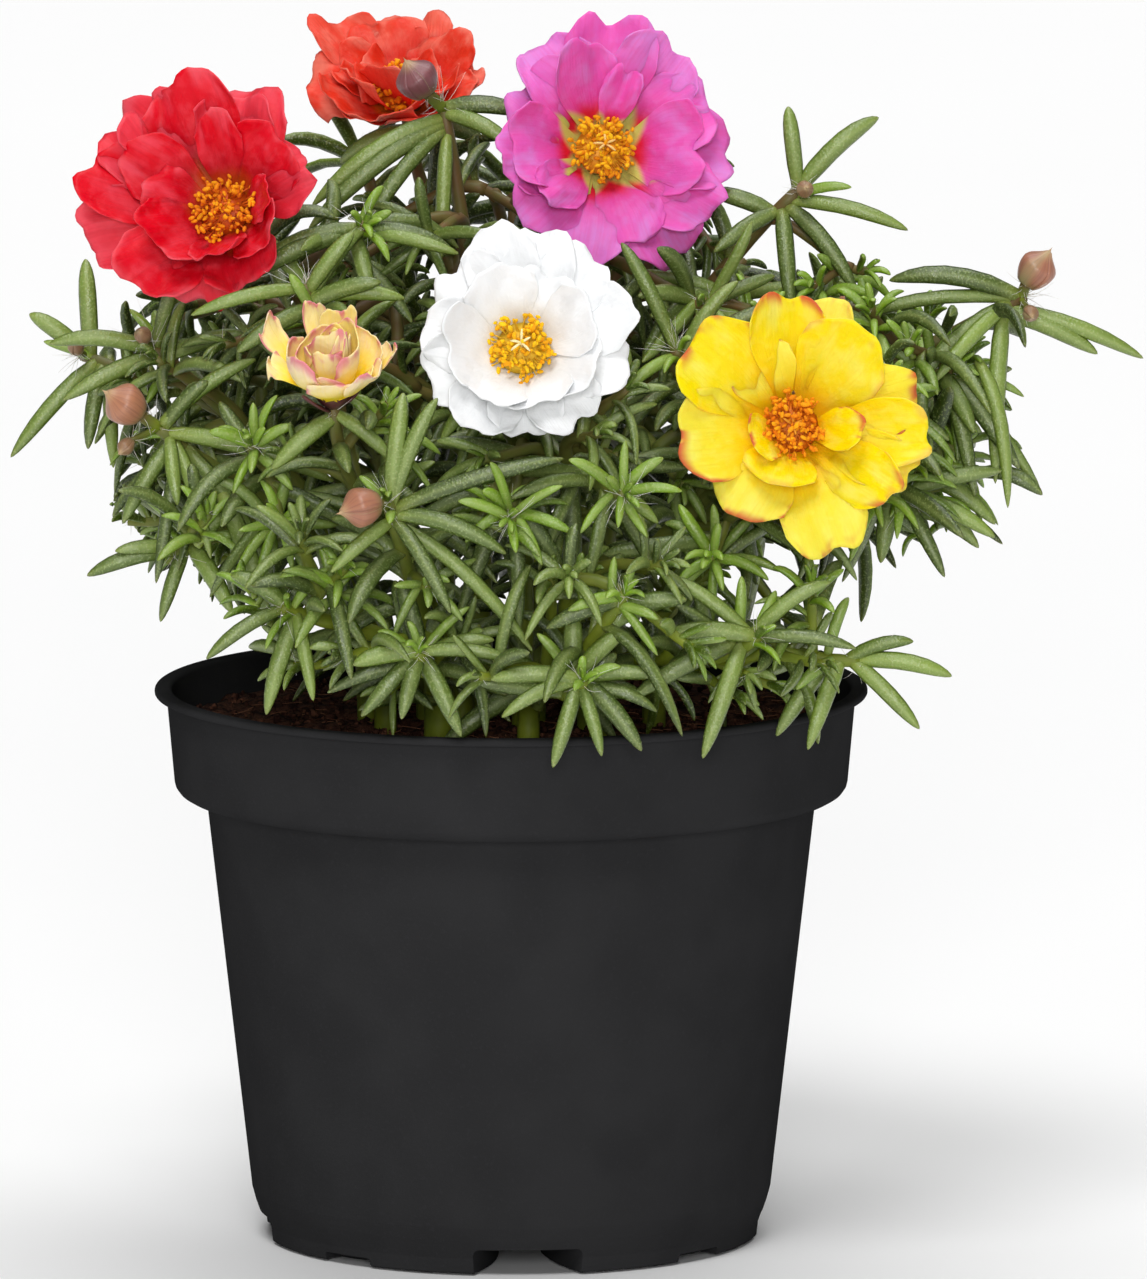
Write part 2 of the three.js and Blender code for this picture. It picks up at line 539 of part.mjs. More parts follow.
// A fleshy leaf: a flat upper side over a keel, with a section at each of the given shares.
function leafSolid(line, width, frame, shares) {
  const curve = new THREE.QuadraticBezierCurve3(...line);
  const rings = [[line[0]]];
  for (const share of shares) {
    const along = curve.getTangent(share);
    const side = frame.forward.clone().cross(along).normalize();
    const above = along.clone().cross(side);
    const half = leafHalfWidth(share, width);
    const centre = curve.getPoint(share);
    const corner = (across, rise) => centre.clone()
      .addScaledVector(side, across * half)
      .addScaledVector(above, rise * LEAF_THICKNESS * half);
    rings.push([corner(1, 0.5), corner(-1, 0.5), corner(0, -1.5)]);
  }
  rings.push([line[2]]);
  return loft(rings);
}

// The ways a leaf may bend clear: turned about the outlook, and brought forward.
const LEAF_TRIALS = [[0, 0], [7, 1], [-7, 1], [0, 3], [12, 3], [-12, 3], [0, 6], [18, 5], [-18, 5],
  [8, -3], [-8, -3], [0, 9], [26, 4], [-26, 4]];

function turnedOffset([right, up, forward], [degrees, extra]) {
  const angle = radians(degrees);
  return [
    right * Math.cos(angle) + up * Math.sin(angle),
    up * Math.cos(angle) - right * Math.sin(angle),
    forward + extra,
  ];
}

function layLeaf(stem, base, tipOffset, frame, shares) {
  const width = leafWidth(Math.hypot(...tipOffset));
  const trials = LEAF_TRIALS.map((trial) => {
    const offset = offsetIn(frame, turnedOffset(tipOffset, trial));
    const points = leafLine(base, offset, frame, LEAF_TEST_POINTS).slice(1);
    return { offset, balls: ballsAlong(points, () => width / 2) };
  });
  const found = firstClear(stem.name, trials);
  if (!found) return;
  const tip = base.clone().add(found.offset);
  const middle = leafLine(base, found.offset, frame, 2)[1].clone().multiplyScalar(2)
    .addScaledVector(base, -0.5).addScaledVector(tip, -0.5);
  stem.solids.push(leafSolid([base, middle, tip], width, frame, shares));
}

// A ring of leaves around a shoot's direction.
function ringOffsets([count, length, spread, turn]) {
  const offsets = [];
  for (let i = 0; i < count; i += 1) {
    const clock = radians(turn + (360 * i) / count + 9 * Math.sin(5 * i));
    const reach = length * (1 + 0.14 * Math.sin(3.1 * i + turn)) * Math.sin(radians(spread));
    const forward = length * Math.cos(radians(spread));
    offsets.push([reach * Math.sin(clock), reach * Math.cos(clock), forward]);
  }
  return offsets;
}

// ---- Blooms and buds ----

function bloomAxis(bloom) {
  return vec(bloom.axis).normalize();
}

// A petal's surface by its share of the length (0 to 1) and of the width (-1 to 1).
function petalSurface(bloom, petal, index) {
  const [right, up, tipHeight, width, cup = PETAL_CUP] = petal;
  const axis = bloomAxis(bloom);
  const centre = vec(bloom.centre);
  const offset = offsetIn(FRONT, [right, up, 0]);
  offset.addScaledVector(FRONT.forward, (tipHeight - offset.dot(axis)) / FRONT.forward.dot(axis));
  const outward = offset.clone().addScaledVector(axis, -tipHeight);
  const reach = outward.length();
  outward.normalize();
  const across = axis.clone().cross(outward);
  const inner = THREE.MathUtils.clamp((tipHeight + 1) / 7, 0, 1);
  const footHeight = lerp(PETAL_FOOT[1], PETAL_FOOT[1] + 1.9, inner);
  const arch = reach * lerp(0.14, -0.05, inner);
  const phase = 2.4 * index + reach;
  return (u, v) => {
    const share = u * (1 - 0.28 * Math.abs(v) ** 2.4 * u) * (1 - 0.05 * u * Math.exp(-9 * v * v));
    const rest = 1 - share;
    const radius = rest * rest * PETAL_FOOT[0] + share * (2 - share) * reach
      - share * rest * 0.9 * reach;
    const height = lerp(footHeight, tipHeight, share) + 4 * share * rest * arch
      + cup * width * v * v * u
      + PETAL_RUFFLE * u * u * Math.sin(2.7 * v + phase);
    const half = (width / 2) * lerp(0.16, 1, THREE.MathUtils.smoothstep(u, 0, 0.85));
    return centre.clone().addScaledVector(outward, radius).addScaledVector(axis, height)
      .addScaledVector(across, v * half);
  };
}

// A thin petal: the same triangles on both faces, and a rim between them.
function petalSolid(surface) {
  const nudge = 0.02;
  const corners = [];
  const faces = [];
  const columns = PETAL_COLUMNS.length;
  for (const u of PETAL_ROWS) {
    for (const v of PETAL_COLUMNS) {
      const point = surface(u, v);
      const along = surface(u + nudge, v).sub(surface(u - nudge, v));
      const across = surface(u, v + nudge).sub(surface(u, v - nudge));
      const normal = along.cross(across).normalize().multiplyScalar(PETAL_THICKNESS / 2);
      const [over, under] = [point.clone().add(normal), point.clone().sub(normal)];
      corners.push(over.x, over.y, over.z, under.x, under.y, under.z);
    }
  }
  const quad = (a, b, c, d) => faces.push(a, b, c, a, c, d);
  const at = (i, j) => 2 * (i * columns + j);
  const [lastRow, lastColumn] = [PETAL_ROWS.length - 1, columns - 1];
  for (let i = 0; i < lastRow; i += 1) {
    for (let j = 0; j < lastColumn; j += 1) {
      const [a, b, c, d] = [at(i, j), at(i + 1, j), at(i + 1, j + 1), at(i, j + 1)];
      faces.push(a, b, c, a, c, d);
      faces.push(a + 1, c + 1, b + 1, a + 1, d + 1, c + 1);
    }
    quad(at(i, 0), at(i, 0) + 1, at(i + 1, 0) + 1, at(i + 1, 0));
    quad(at(i + 1, lastColumn), at(i + 1, lastColumn) + 1, at(i, lastColumn) + 1, at(i, lastColumn));
  }
  for (let j = 0; j < lastColumn; j += 1) {
    quad(at(0, j + 1), at(0, j + 1) + 1, at(0, j) + 1, at(0, j));
    quad(at(lastRow, j), at(lastRow, j) + 1, at(lastRow, j + 1) + 1, at(lastRow, j + 1));
  }
  return solidOf(geometryOf(corners, faces));
}

function petalsSolid(bloom) {
  const axis = bloomAxis(bloom);
  const centre = vec(bloom.centre);
  const { bottom, top, bottomRadius, radius, sides } = RECEPTACLE;
  const receptacle = aimed([[0, bottom], [bottomRadius, bottom], [radius, -5.2], [radius, -3.8],
    [1.9, top], [0, top]], sides, centre, axis);
  const petals = bloom.petals.map((petal, index) => (
    petalSolid(petalSurface(bloom, petal, index))));
  const whole = joined([receptacle, ...petals]);
  const room = aimed(STAMEN_ROOM, 10, centre, axis);
  return bloom.name === "half_open" ? largestBody(whole) : largestBody(whole.subtract(room));
}

function petalBalls(bloom) {
  const balls = [];
  bloom.petals.forEach((petal, index) => {
    const surface = petalSurface(bloom, petal, index);
    for (const u of [0.3, 0.48, 0.66, 0.84, 1]) {
      for (const v of [-1, -0.5, 0, 0.5, 1]) balls.push({ at: surface(u, v), radius: 1.5 });
    }
  });
  return balls;
}

// A dome with filaments that fan out of it, each with its anther.
function stamensSolid(bloom) {
  const axis = bloomAxis(bloom);
  const centre = vec(bloom.centre);
  const frame = outlookFrame(axis);
  const { count, reach, foot, anther } = STAMENS;
  const core = aimed([[0, foot], [1.5, foot], [3.6, -0.8], [0, 0.9]], 7, centre, axis);
  const stalks = [];
  for (let i = 0; i < count; i += 1) {
    const out = reach * Math.sqrt((i + 0.6) / count);
    const clock = radians(GOLDEN_ANGLE) * i;
    const [right, up] = [out * Math.sin(clock), out * Math.cos(clock)];
    const end = centre.clone().add(offsetIn(frame, [right, up, 1.9 - 0.045 * out * out]));
    const start = centre.clone().add(offsetIn(frame, [right * 0.35, up * 0.35, -1.2]));
    const along = end.clone().sub(start);
    const middle = start.clone().addScaledVector(along, 0.76);
    const side = frame.right.clone().cross(along).normalize();
    const across = along.clone().normalize().cross(side);
    const section = [0, 120, 240].map((turn) => middle.clone()
      .addScaledVector(side, anther * Math.cos(radians(turn)))
      .addScaledVector(across, anther * Math.sin(radians(turn))));
    stalks.push(loft([[start], section, [end]]));
  }
  return largestBody(joined([core, ...stalks]));
}

// A teardrop bud with a pointed tip.
function budSolid([, base, direction, length, radius]) {
  const profile = [[0, 0], [0.5 * radius, 0], [radius, 0.28 * length],
    [0.9 * radius, 0.55 * length], [0.3 * radius, 0.82 * length], [0, length]];
  return aimed(profile, 6, vec(base), vec(direction).normalize());
}

function budBalls([, base, direction, length, radius]) {
  const axis = vec(direction).normalize();
  return [[0.25, 0.85], [0.45, 1], [0.7, 0.7], [0.95, 0.2]].map(([share, size]) => ({
    at: vec(base).addScaledVector(axis, share * length), radius: size * radius,
  }));
}

// ---- Stems ----

// Where the stem of a bloom ends, and in which direction.
function bloomSeat(name) {
  const bloom = BLOOMS.find((row) => row.name === name);
  const axis = bloomAxis(bloom);
  const end = vec(bloom.centre).addScaledVector(axis, RECEPTACLE.bottom - SEAT_GAP);
  return { end, axis };
}

// The ways a shoot may bend clear: to the side, and upward.
const SHOOT_TRIALS = [[0, 0], [4, 0], [-4, 0], [0, 4], [0, -4], [7, 3], [-7, 3], [7, -3], [-7, -3],
  [10, 0], [-10, 0], [0, 8], [14, 4], [-14, 4]];

// A stem's first shoot comes straight out of its hole and leans over to its tip.
function mainControls(foot, end, direction, [sway, rise]) {
  const neck = new THREE.Vector3(foot.x, foot.y, SOIL_HEIGHT + 2);
  const reach = neck.distanceTo(end);
  const outward = end.clone().sub(neck).setZ(0);
  const sideways = new THREE.Vector3(-outward.y, outward.x, 0).normalize();
  const first = neck.clone().addScaledVector(UP, MAIN_BEND.rise * reach + rise)
    .addScaledVector(sideways, sway);
  const second = end.clone().addScaledVector(direction, -MAIN_BEND.lead * reach)
    .addScaledVector(sideways, sway);
  return [neck, first, second, end];
}

function branchControls(start, end, direction, [sway, rise]) {
  const reach = start.distanceTo(end);
  const outward = end.clone().sub(start);
  const sideways = new THREE.Vector3(-outward.y, outward.x, 0).normalize();
  const first = start.clone().addScaledVector(outward, BRANCH_BEND.along)
    .addScaledVector(UP, BRANCH_BEND.rise * reach + rise).addScaledVector(sideways, sway);
  const second = end.clone().addScaledVector(direction, -BRANCH_BEND.lead * reach)
    .addScaledVector(sideways, sway * 0.5);
  return [start, first, second, end];
}

// Lays a shoot and returns its solid, its line and its end.
function layShoot(stem, [, fraction, target, leaves]) {
  const main = fraction === 0;
  const seat = typeof target === "string" ? bloomSeat(target) : null;
  const end = seat ? seat.end : vec(target);
  const start = main ? stem.foot : stem.line.getPoint(fraction);
  const behind = main ? start.clone().setZ(end.z - TIP_LEAN_DEPTH) : start;
  const direction = seat ? seat.axis : end.clone().sub(behind).normalize();
  const radiusThere = lerp(stem.radius, STEM_TIP_RADIUS, fraction);
  const startRadius = main ? stem.radius : radiusThere * BRANCH_SLENDERNESS;
  const radiusAt = (share) => lerp(startRadius, STEM_TIP_RADIUS, share);
  const controlsFor = main ? mainControls : branchControls;
  const trials = SHOOT_TRIALS.map((trial) => {
    const line = new THREE.CubicBezierCurve3(...controlsFor(start, end, direction, trial));
    const balls = ballsAlong(line.getPoints(SHOOT_TEST_POINTS), radiusAt).slice(0, -SHOOT_FREE_END);
    balls.forEach((ball) => { ball.rooted = ball.at.z < POT_HEIGHT; });
    return { line, balls };
  });
  const found = firstClear(stem.name, trials);
  if (!found) throw new Error(`no room for a shoot of ${stem.name} to ${target}`);
  const { line } = found;
  const steps = Math.max(2, Math.round(line.getLength() / STEM_STEP));
  const points = line.getPoints(steps);
  const radii = points.map((_, i) => radiusAt(i / steps));
  if (main) {
    points.unshift(stem.foot.clone().setZ(SOIL_HEIGHT - ROOT_DEPTH));
    radii.unshift(stem.radius);
    stem.line = line;
  }
  stem.shoots.push({ end, before: points.at(-2), direction, leaves, corners: points, main });
  stem.solids.push(tube(points, radii, main ? STEM_SIDES : BRANCH_SIDES));
}

// A short stalk from the nearest shoot's end to the foot of a bud.
function layBudStalk(stem, [, base, direction, , radius]) {
  const foot = vec(base).addScaledVector(vec(direction).normalize(), -SEAT_GAP);
  const nearest = stem.shoots.reduce((best, shoot) => (
    shoot.end.distanceTo(foot) < best.end.distanceTo(foot) ? shoot : best));
  const start = nearest.end.clone().addScaledVector(nearest.direction, -0.8);
  const width = 0.3 * radius;
  stem.solids.push(tube([start, foot], [width, width], BRANCH_SIDES));
}

function layTipLeaves(stem) {
  for (const { end, before, direction, leaves } of stem.shoots) {
    const ring = typeof leaves[0] === "number";
    const frame = ring ? outlookFrame(direction) : FRONT;
    const offsets = ring ? ringOffsets(leaves) : leaves;
    offsets.forEach((offset, i) => {
      const base = end.clone().lerp(before, (LEAF_SPACING * (i + 1)) / end.distanceTo(before));
      layLeaf(stem, base, offset, frame, TIP_LEAF_SHARES);
    });
  }
}

// Leaves along a shoot, turned by the golden angle from one to the next.
function layLowerLeaves(stem) {
  stem.shoots.forEach(({ corners, main }, k) => {
    const places = main ? MAIN_LEAF_PLACES : BRANCH_LEAF_PLACES;
    places.forEach((share, i) => {
      const place = share * (corners.length - 1);
      const [from, to] = [corners[Math.floor(place)], corners[Math.floor(place) + 1]];
      const along = to.clone().sub(from).normalize();
      const base = from.clone().lerp(to, place % 1);
      const clock = radians(GOLDEN_ANGLE * (i + 3 * k) + 10 * stem.foot.x);
      const [reach, forward] = [0.86 * LOWER_LEAF_LENGTH, 0.5 * LOWER_LEAF_LENGTH];
      const offset = [reach * Math.sin(clock), reach * Math.cos(clock), forward];
      layLeaf(stem, base, offset, outlookFrame(along), LOWER_LEAF_SHARES);
    });
  });
}

// ---- The whole plant ----

function buildPortulaca() {
  const group = new THREE.Group();
  const stems = STEMS.map(([name, [x, y], radius]) => ({
    name, radius, foot: new THREE.Vector3(x, y, SOIL_HEIGHT), shoots: [], solids: [],
  }));
  const stemNamed = (name) => stems.find((stem) => stem.name === name);
  group.add(meshOf("pot", potSolid(), "pot"));
  group.add(meshOf("soil", soilSolid(stems), "soil"));
  for (const bloom of BLOOMS) {
    group.add(meshOf(`petals_${bloom.name}`, petalsSolid(bloom), bloom.name));
    layBalls(`petals_${bloom.name}`, petalBalls(bloom));
    if (bloom.name !== "half_open") {
      group.add(meshOf(`stamens_${bloom.name}`, stamensSolid(bloom), "stamens"));
      layBalls(`stamens_${bloom.name}`, [{ at: vec(bloom.centre), radius: STAMENS.reach }]);
    }
  }
  for (const bud of BUDS) {
    group.add(meshOf(bud[0], budSolid(bud), "bud"));
    layBalls(bud[0], budBalls(bud));
  }
  for (const main of [true, false]) {
    for (const row of SHOOTS) {
      if ((row[1] === 0) === main) layShoot(stemNamed(row[0]), row);
    }
  }
  for (const bud of BUDS) layBudStalk(stemNamed(bud[5]), bud);
  stems.forEach(layTipLeaves);
  stems.forEach(layLowerLeaves);
  for (const stem of stems) group.add(meshOf(stem.name, joined(stem.solids), "leaf"));
  return group;
}

export default buildPortulaca();
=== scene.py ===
"""Portulaca (moss rose) in a black nursery pot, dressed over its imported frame.

The plant's and the pot's sizes are in millimetres, as the solids' are, and points become metres
where a mesh is made. Shoots, leaves and petals are laid by the same rule as the solids, and then
made fine.
"""

import functools
import math

import bpy
import numpy as np
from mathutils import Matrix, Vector


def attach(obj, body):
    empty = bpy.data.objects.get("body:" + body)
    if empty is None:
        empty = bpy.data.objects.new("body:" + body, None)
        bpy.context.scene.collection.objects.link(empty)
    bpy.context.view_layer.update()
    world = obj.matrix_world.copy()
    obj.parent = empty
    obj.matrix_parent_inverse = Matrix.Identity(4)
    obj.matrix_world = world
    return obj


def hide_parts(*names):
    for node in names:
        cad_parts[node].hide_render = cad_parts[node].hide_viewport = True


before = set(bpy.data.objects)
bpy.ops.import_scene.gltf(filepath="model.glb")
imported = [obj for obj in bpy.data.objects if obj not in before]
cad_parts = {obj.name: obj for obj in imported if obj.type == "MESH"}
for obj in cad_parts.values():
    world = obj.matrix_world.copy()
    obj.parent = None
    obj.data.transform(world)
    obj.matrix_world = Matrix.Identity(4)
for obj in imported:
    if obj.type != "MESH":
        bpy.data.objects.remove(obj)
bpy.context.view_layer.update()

MM = 0.001
UP = np.array([0.0, 0.0, 1.0])
SEED = 20

# ---- Driving dimensions, in millimetres ----

# Pot: its turned outline from foot to rim, the floor, and what is cut into the foot.
POT_SIDES = 192
WALL = 1.2
RIM_RADIUS = 60.0
POT_HEIGHT = 93.0
FOOT_RADIUS = 41.8
FOOT_RISE = 2.6
FOOT_FLARE = 1.4
FOOT_STEP_HEIGHT = 5.8
BODY_FOOT_RADIUS = 43.8
BODY_FOOT_HEIGHT = 8.0
COLLAR_HEIGHT = 75.0
BODY_TOP_RADIUS = 51.4
COLLAR_RADIUS = 56.5
COLLAR_TOP_RADIUS = 58.0
LIP_HEIGHT = 91.8
FLOOR_THICKNESS = 1.4
FLOOR_RING_RADIUS = 36.0
FLOOR_RING_THICKNESS = 2.8
CHANNEL = {"width": 19.0, "inner_width": 7.0, "height": 4.2, "inner_radius": 19.0, "cover": 1.2}
ROOF_INSET = 1.5
VOID_OVERRUN = 2.0
DRAIN_RADIUS = 3.0
DRAIN_CUT = [1.0, 8.0]
FOOT_TURN = 4
NOTCH = {"width": 10.0, "inner_width": 10.0, "height": 1.4, "inner_radius": 37.6}
FILLET_POINTS = 5

# Soil: its level, its filling's bottom and its play in the pot, and what lies on it.
SOIL_HEIGHT = 88.0
SOIL_BUMP = 1.1
SOIL_RADIUS = 55.8
SOIL_BOTTOM = 5.9
SOIL_PLAY = 0.4
SOIL_SIDES = 96
CRUMBS = {"count": 1250, "small_share": 0.85, "small": [0.3, 0.62], "large": [0.62, 1.15]}
FIBRES = {"count": 330, "length": [1.5, 5], "radius": [0.05, 0.1]}

# Shoots and leaves, by the solids' own rule.
ROOT_DEPTH = 7.0
BEND_CLEARANCE = 0.45
STEM_TIP_RADIUS = 1.05
STEM_STEP = 19.0
NECK_RISE = 2.0
MAIN_BEND = {"along": 0, "rise": 0.42, "lead": 0.38, "sway": 1}
BRANCH_BEND = {"along": 0.3, "rise": 0.12, "lead": 0.35, "sway": 0.5}
BRANCH_SLENDERNESS = 0.85
TIP_LEAN_DEPTH = 34.0
SHOOT_TEST_POINTS = 40
SHOOT_FREE_END = 4
LEAF_SPACING = 0.8
LEAF_TEST_POINTS = 7
LEAF_WIDTH = 3.7
YOUNG_LEAF_WIDTH = 2.4
YOUNG_LEAF_LENGTH = 11.5
LOWER_LEAF_LENGTH = 16.0
LOWER_LEAF_REACH = 0.86
LOWER_LEAF_LEAD = 0.5
LEAF_BOW = {"forward": 0.16, "up": 0.128}
MAIN_LEAF_PLACES = [0.46, 0.7]
BRANCH_LEAF_PLACES = [0.55]
GOLDEN_ANGLE = 137.5

# Blooms, and the front camera's outlook in degrees above level.
PETAL_THICKNESS = 0.22
PETAL_FOOT = [1.7, -6.2]
PETAL_CUP = 0.08
PETAL_RUFFLE = 0.35
PETAL_BALL = 1.5
RECEPTACLE_BOTTOM = -7.6
SEAT_GAP = 0.5
STAMENS = {"count": 165, "reach": 6.1}
STYLE_LIFT = {"red": 0.9, "orange": 0.8, "magenta": 1.9, "white": 2.5, "yellow": 0.9}
OUTLOOK_RISE = 8.5
OUTLINE_SLANT = 0.15

# Profiles of [radius, height], and radii along a style's arm and a hair.
CALYX_PROFILE = [[0, -7.6], [0.9, -7.55], [1.3, -7.3], [2.1, -6.4], [2.8, -5.3], [2.9, -4.4],
                 [2.5, -3.6], [0, -3.2]]
THROAT_PROFILE = [[0, -2.9], [1.4, -2.8], [3.6, -2.3], [4.4, -1.7], [3.0, -0.7], [1.4, -0.1], [0, 0.1]]
ANTHER_PROFILE = np.array([[0, -0.7], [0.24, -0.6], [0.4, -0.24], [0.38, 0.26], [0.22, 0.6], [0, 0.7]])
STYLE_ARM_RADII = [0.14, 0.16, 0.19, 0.22, 0.22, 0.19, 0.1]
HAIR_RADII = [0.06, 0.056, 0.048, 0.036, 0.015]
# Hairs at the end of a fine shoot and of another one, and under a bud: count, shortest, longest.
TUFTS = {"fine": [4, [1.2, 2.6]], "shoot": [24, [1.8, 5.0]], "bud": [16, [1.4, 3.4]]}

# ---- Plant tables ----
# Leafy stems: foot on the soil [x, y], radius at the soil.
STEMS = {
    "front": [[3, -27], 1.9],
    "front_right": [[15, -23], 2.0],
    "front_left": [[-12, -22], 2.6],
    "white": [[2, -15], 1.9],
    "yellow": [[13, -12], 2.0],
    "half_open": [[-8, -12], 1.8],
    "left_bud": [[-21, -11], 2.0],
    "right": [[24, -5], 2.1],
    "left": [[-24, 1], 2.0],
    "red": [[-14, -2], 2.0],
    "magenta": [[4, -4], 1.9],
    "orange": [[-5, 6], 1.9],
    "upper_right": [[14, 2], 1.9],
    "back_right": [[24, 10], 1.9],
    "back_right_inner": [[11, 14], 1.9],
    "back": [[1, 21], 1.9],
    "back_left_inner": [[-11, 17], 1.9],
    "back_left": [[-23, 12], 1.9],
}

# Blooms: centre of the anthers, axis, and petals: tip from the centre (right and up in the front
# view, height along the axis), width, and a cup of its own where it has one. "petals" are the
# solids' own; "more" fill the bloom between them, and "drawn" stand in their place. "crumple" is
# the strength of the folds and "scallop" that of the margin's waves, "bulge" rounds a petal
# outward, and "wrap" bends it about the axis.
BLOOMS = {
    "red": {"centre": [-48, -24, 177], "axis": [-0.28, -0.88, 0.36], "crumple": 1.25,
            "petals": [
        [6, 21, 0, 14], [10, 12, 4, 13, 0.2], [15, 7, 0.5, 13], [9, -6, 4, 11, 0.25],
        [5, -13, 1.5, 13], [-5, -16, 0, 13], [-15, -13, 2.5, 14], [-23, -5, 0, 14],
        [-23, 6, 2.5, 13], [-19, 16, 0, 14], [-7, 22, 2.5, 15], [-17, 10, 5.5, 11, 0.2],
    ], "more": [
        [-12, -5, 6.5, 12, 0.12], [-1, 16, 4, 8, 0.2], [-1, -9, 5.5, 10, 0.12],
        [8.5, 2.5, 5.5, 8, 0.35], [-14, 2, 5, 12, 0.12], [4, 19, -1, 13], [-13, 18, -1, 13],
    ]},
    "orange": {"centre": [-18, 24, 191.7], "axis": [-0.06, -0.6, 0.8], "petals": [
        [-13, 9, 0, 13], [-5, 13, 2.5, 14], [2, 13, 0, 13], [9, 10, 2.5, 13], [13, 4, 0.5, 13],
        [11, -2, 3, 12], [4, -6, 4.5, 12], [-6, -7, 3.5, 13], [-13, -3, 4.5, 12], [-17, 2, 2, 13],
        [-8, 5, 5.5, 10, 0.2], [5, 6, 5.5, 10, 0.2],
    ], "more": [
        [-14, 10.5, -0.5, 12], [-4.5, 2, 7.5, 11, 0.12],
        [-10, 1, 6.5, 12, 0.12], [-12, 6, 5, 11, 0.15], [6.5, 0, 6.5, 11, 0.12],
    ]},
    "magenta": {"centre": [15.5, -10, 185.5], "axis": [0.16, -0.92, 0.36], "petals": [
        [2, 23, 2.5, 15], [12, 17, 0, 14], [18.5, 9, 2.5, 14], [22, -1, 0, 14],
        [19, -11, 2.5, 13], [13, -19, 0, 14], [5, -17, 2.5, 14], [-4, -20, 0, 14],
        [-13, -13, 2.5, 13], [-18, -2, 0, 14], [-14, 12, 1.5, 14],
    ], "more": [
        [-4, 17.5, 5, 11], [4.5, 14, 5, 6, 0.3], [17.5, 0, 5, 15], [-11, 18, -1, 13],
        [-10, -9, 4.5, 9, 0.2], [-15.5, 0, 4, 14, 0.12],
    ]},
    "white": {"centre": [2, -52, 157.5], "axis": [-0.03, -0.94, 0.34], "crumple": 0.8, "scallop": 0.85,
              "petals": [
        [-5, 20, 0, 12], [4, 20, 2.5, 12], [12, 16, 0, 12], [19, 7, 2.5, 12], [18, -4, 0, 12],
        [10, -13, 2.5, 12], [1, -15, 0, 12], [-9, -14, 2.5, 12], [-16, -6, 0, 12],
        [-17, 3, 2.5, 12], [-12, 14, 1, 12],
    ], "more": [
        [-5, 13, 5, 12, 0.14], [5, 13, 4.5, 11, 0.14], [12, 6, 5, 11, 0.16], [12.5, -4, 4.5, 12, 0.16],
        [3, -10, 5.5, 12, 0.16], [-6, -9.5, 5, 11, 0.16], [-13, 0, 5.5, 13, 0.16],
    ]},
    "yellow": {"centre": [46.6, -52, 144.3], "axis": [0.02, -0.95, 0.24], "crumple": 0.65,
               "scallop": 0.4, "petals": [
        [0, 22.5, 2.5, 13], [7, 22, 0, 12], [14, 15, 2.5, 14], [21, 6, 0, 13],
        [22.5, -3, 2.5, 14], [17, -11, 0, 13], [6, -22, 1, 15], [-3, -14, 4, 12],
        [-12, -15, 0.5, 14], [-21, 0, 2.5, 14], [-17, 14.5, 0, 14],
    ], "drawn": [
        [-16.8, 15, 4, 15.5, 0.3], [-1.2, 22, 2.5, 12, 0.22], [7.2, 21.2, -1.5, 10.5],
        [12, 16, 4.5, 15, 0.16], [21, 6, -0.5, 12, 0.08], [23.2, -1.9, 4, 11, 0.14],
        [20.5, -8.5, -0.5, 9, 0.05], [17, -11.8, 3.6, 9.8, 0.05], [7.5, -21.6, 1.6, 13.5, 0.04],
        [-9.8, -15, 0.4, 13.5, 0.04], [-19.2, -2.5, 2, 15, 0.05],
        [12, -0.5, 6, 7, 0.34], [-3, -9.8, 4.4, 12, 0.05], [-6.8, -2.6, 5, 8, 0.3],
        [-7.5, 13.5, -1, 11],
    ]},
    "half_open": {"centre": [-29.5, -57, 154.5], "axis": [-0.05, -0.42, 0.9], "bulge": 0.3,
                  "crumple": 0.8, "wrap": 1.0, "petals": [
        [-10, 8, 5, 10, 0.2], [-3, 11, 7, 10, 0.2], [4, 8, 5, 10, 0.2], [10, 2, 5, 10, 0.2],
        [-10, 1, 4, 10, 0.2], [6, -3, 3.5, 10, 0.2], [-3, 4, 9, 9, 0.3],
    ], "drawn": [
        [-10.5, 8, 3, 12, 0.05], [-10, 2.5, 1.5, 12, 0.02], [-2.8, 11.8, 5.5, 12, 0.05],
        [1.2, 9.5, 5, 12, 0.05], [6, 7, 4, 13, 0.05], [10, 4.2, 1.5, 15, 0.02],
        [7, 0.5, 3, 13, 0], [-7, 2, 3.5, 14, 0], [-3.5, -0.5, 2.8, 15, 0], [3, -1.2, 2.6, 14, 0],
        [-5, 5.5, 5, 13, 0.05], [4.5, 5, 5.5, 13, 0.05], [-1, 2.2, 4.6, 13, 0.05],
        [-3, 6.5, 6, 12, 0.1], [1.8, 3.6, 5.6, 11, 0.1], [-0.8, 4.6, 6.2, 9, 0.1],
        [2.5, 6, 6.5, 9, 0.1], [0.6, 3.4, 5.6, 7, 0.1],
    ]},
}

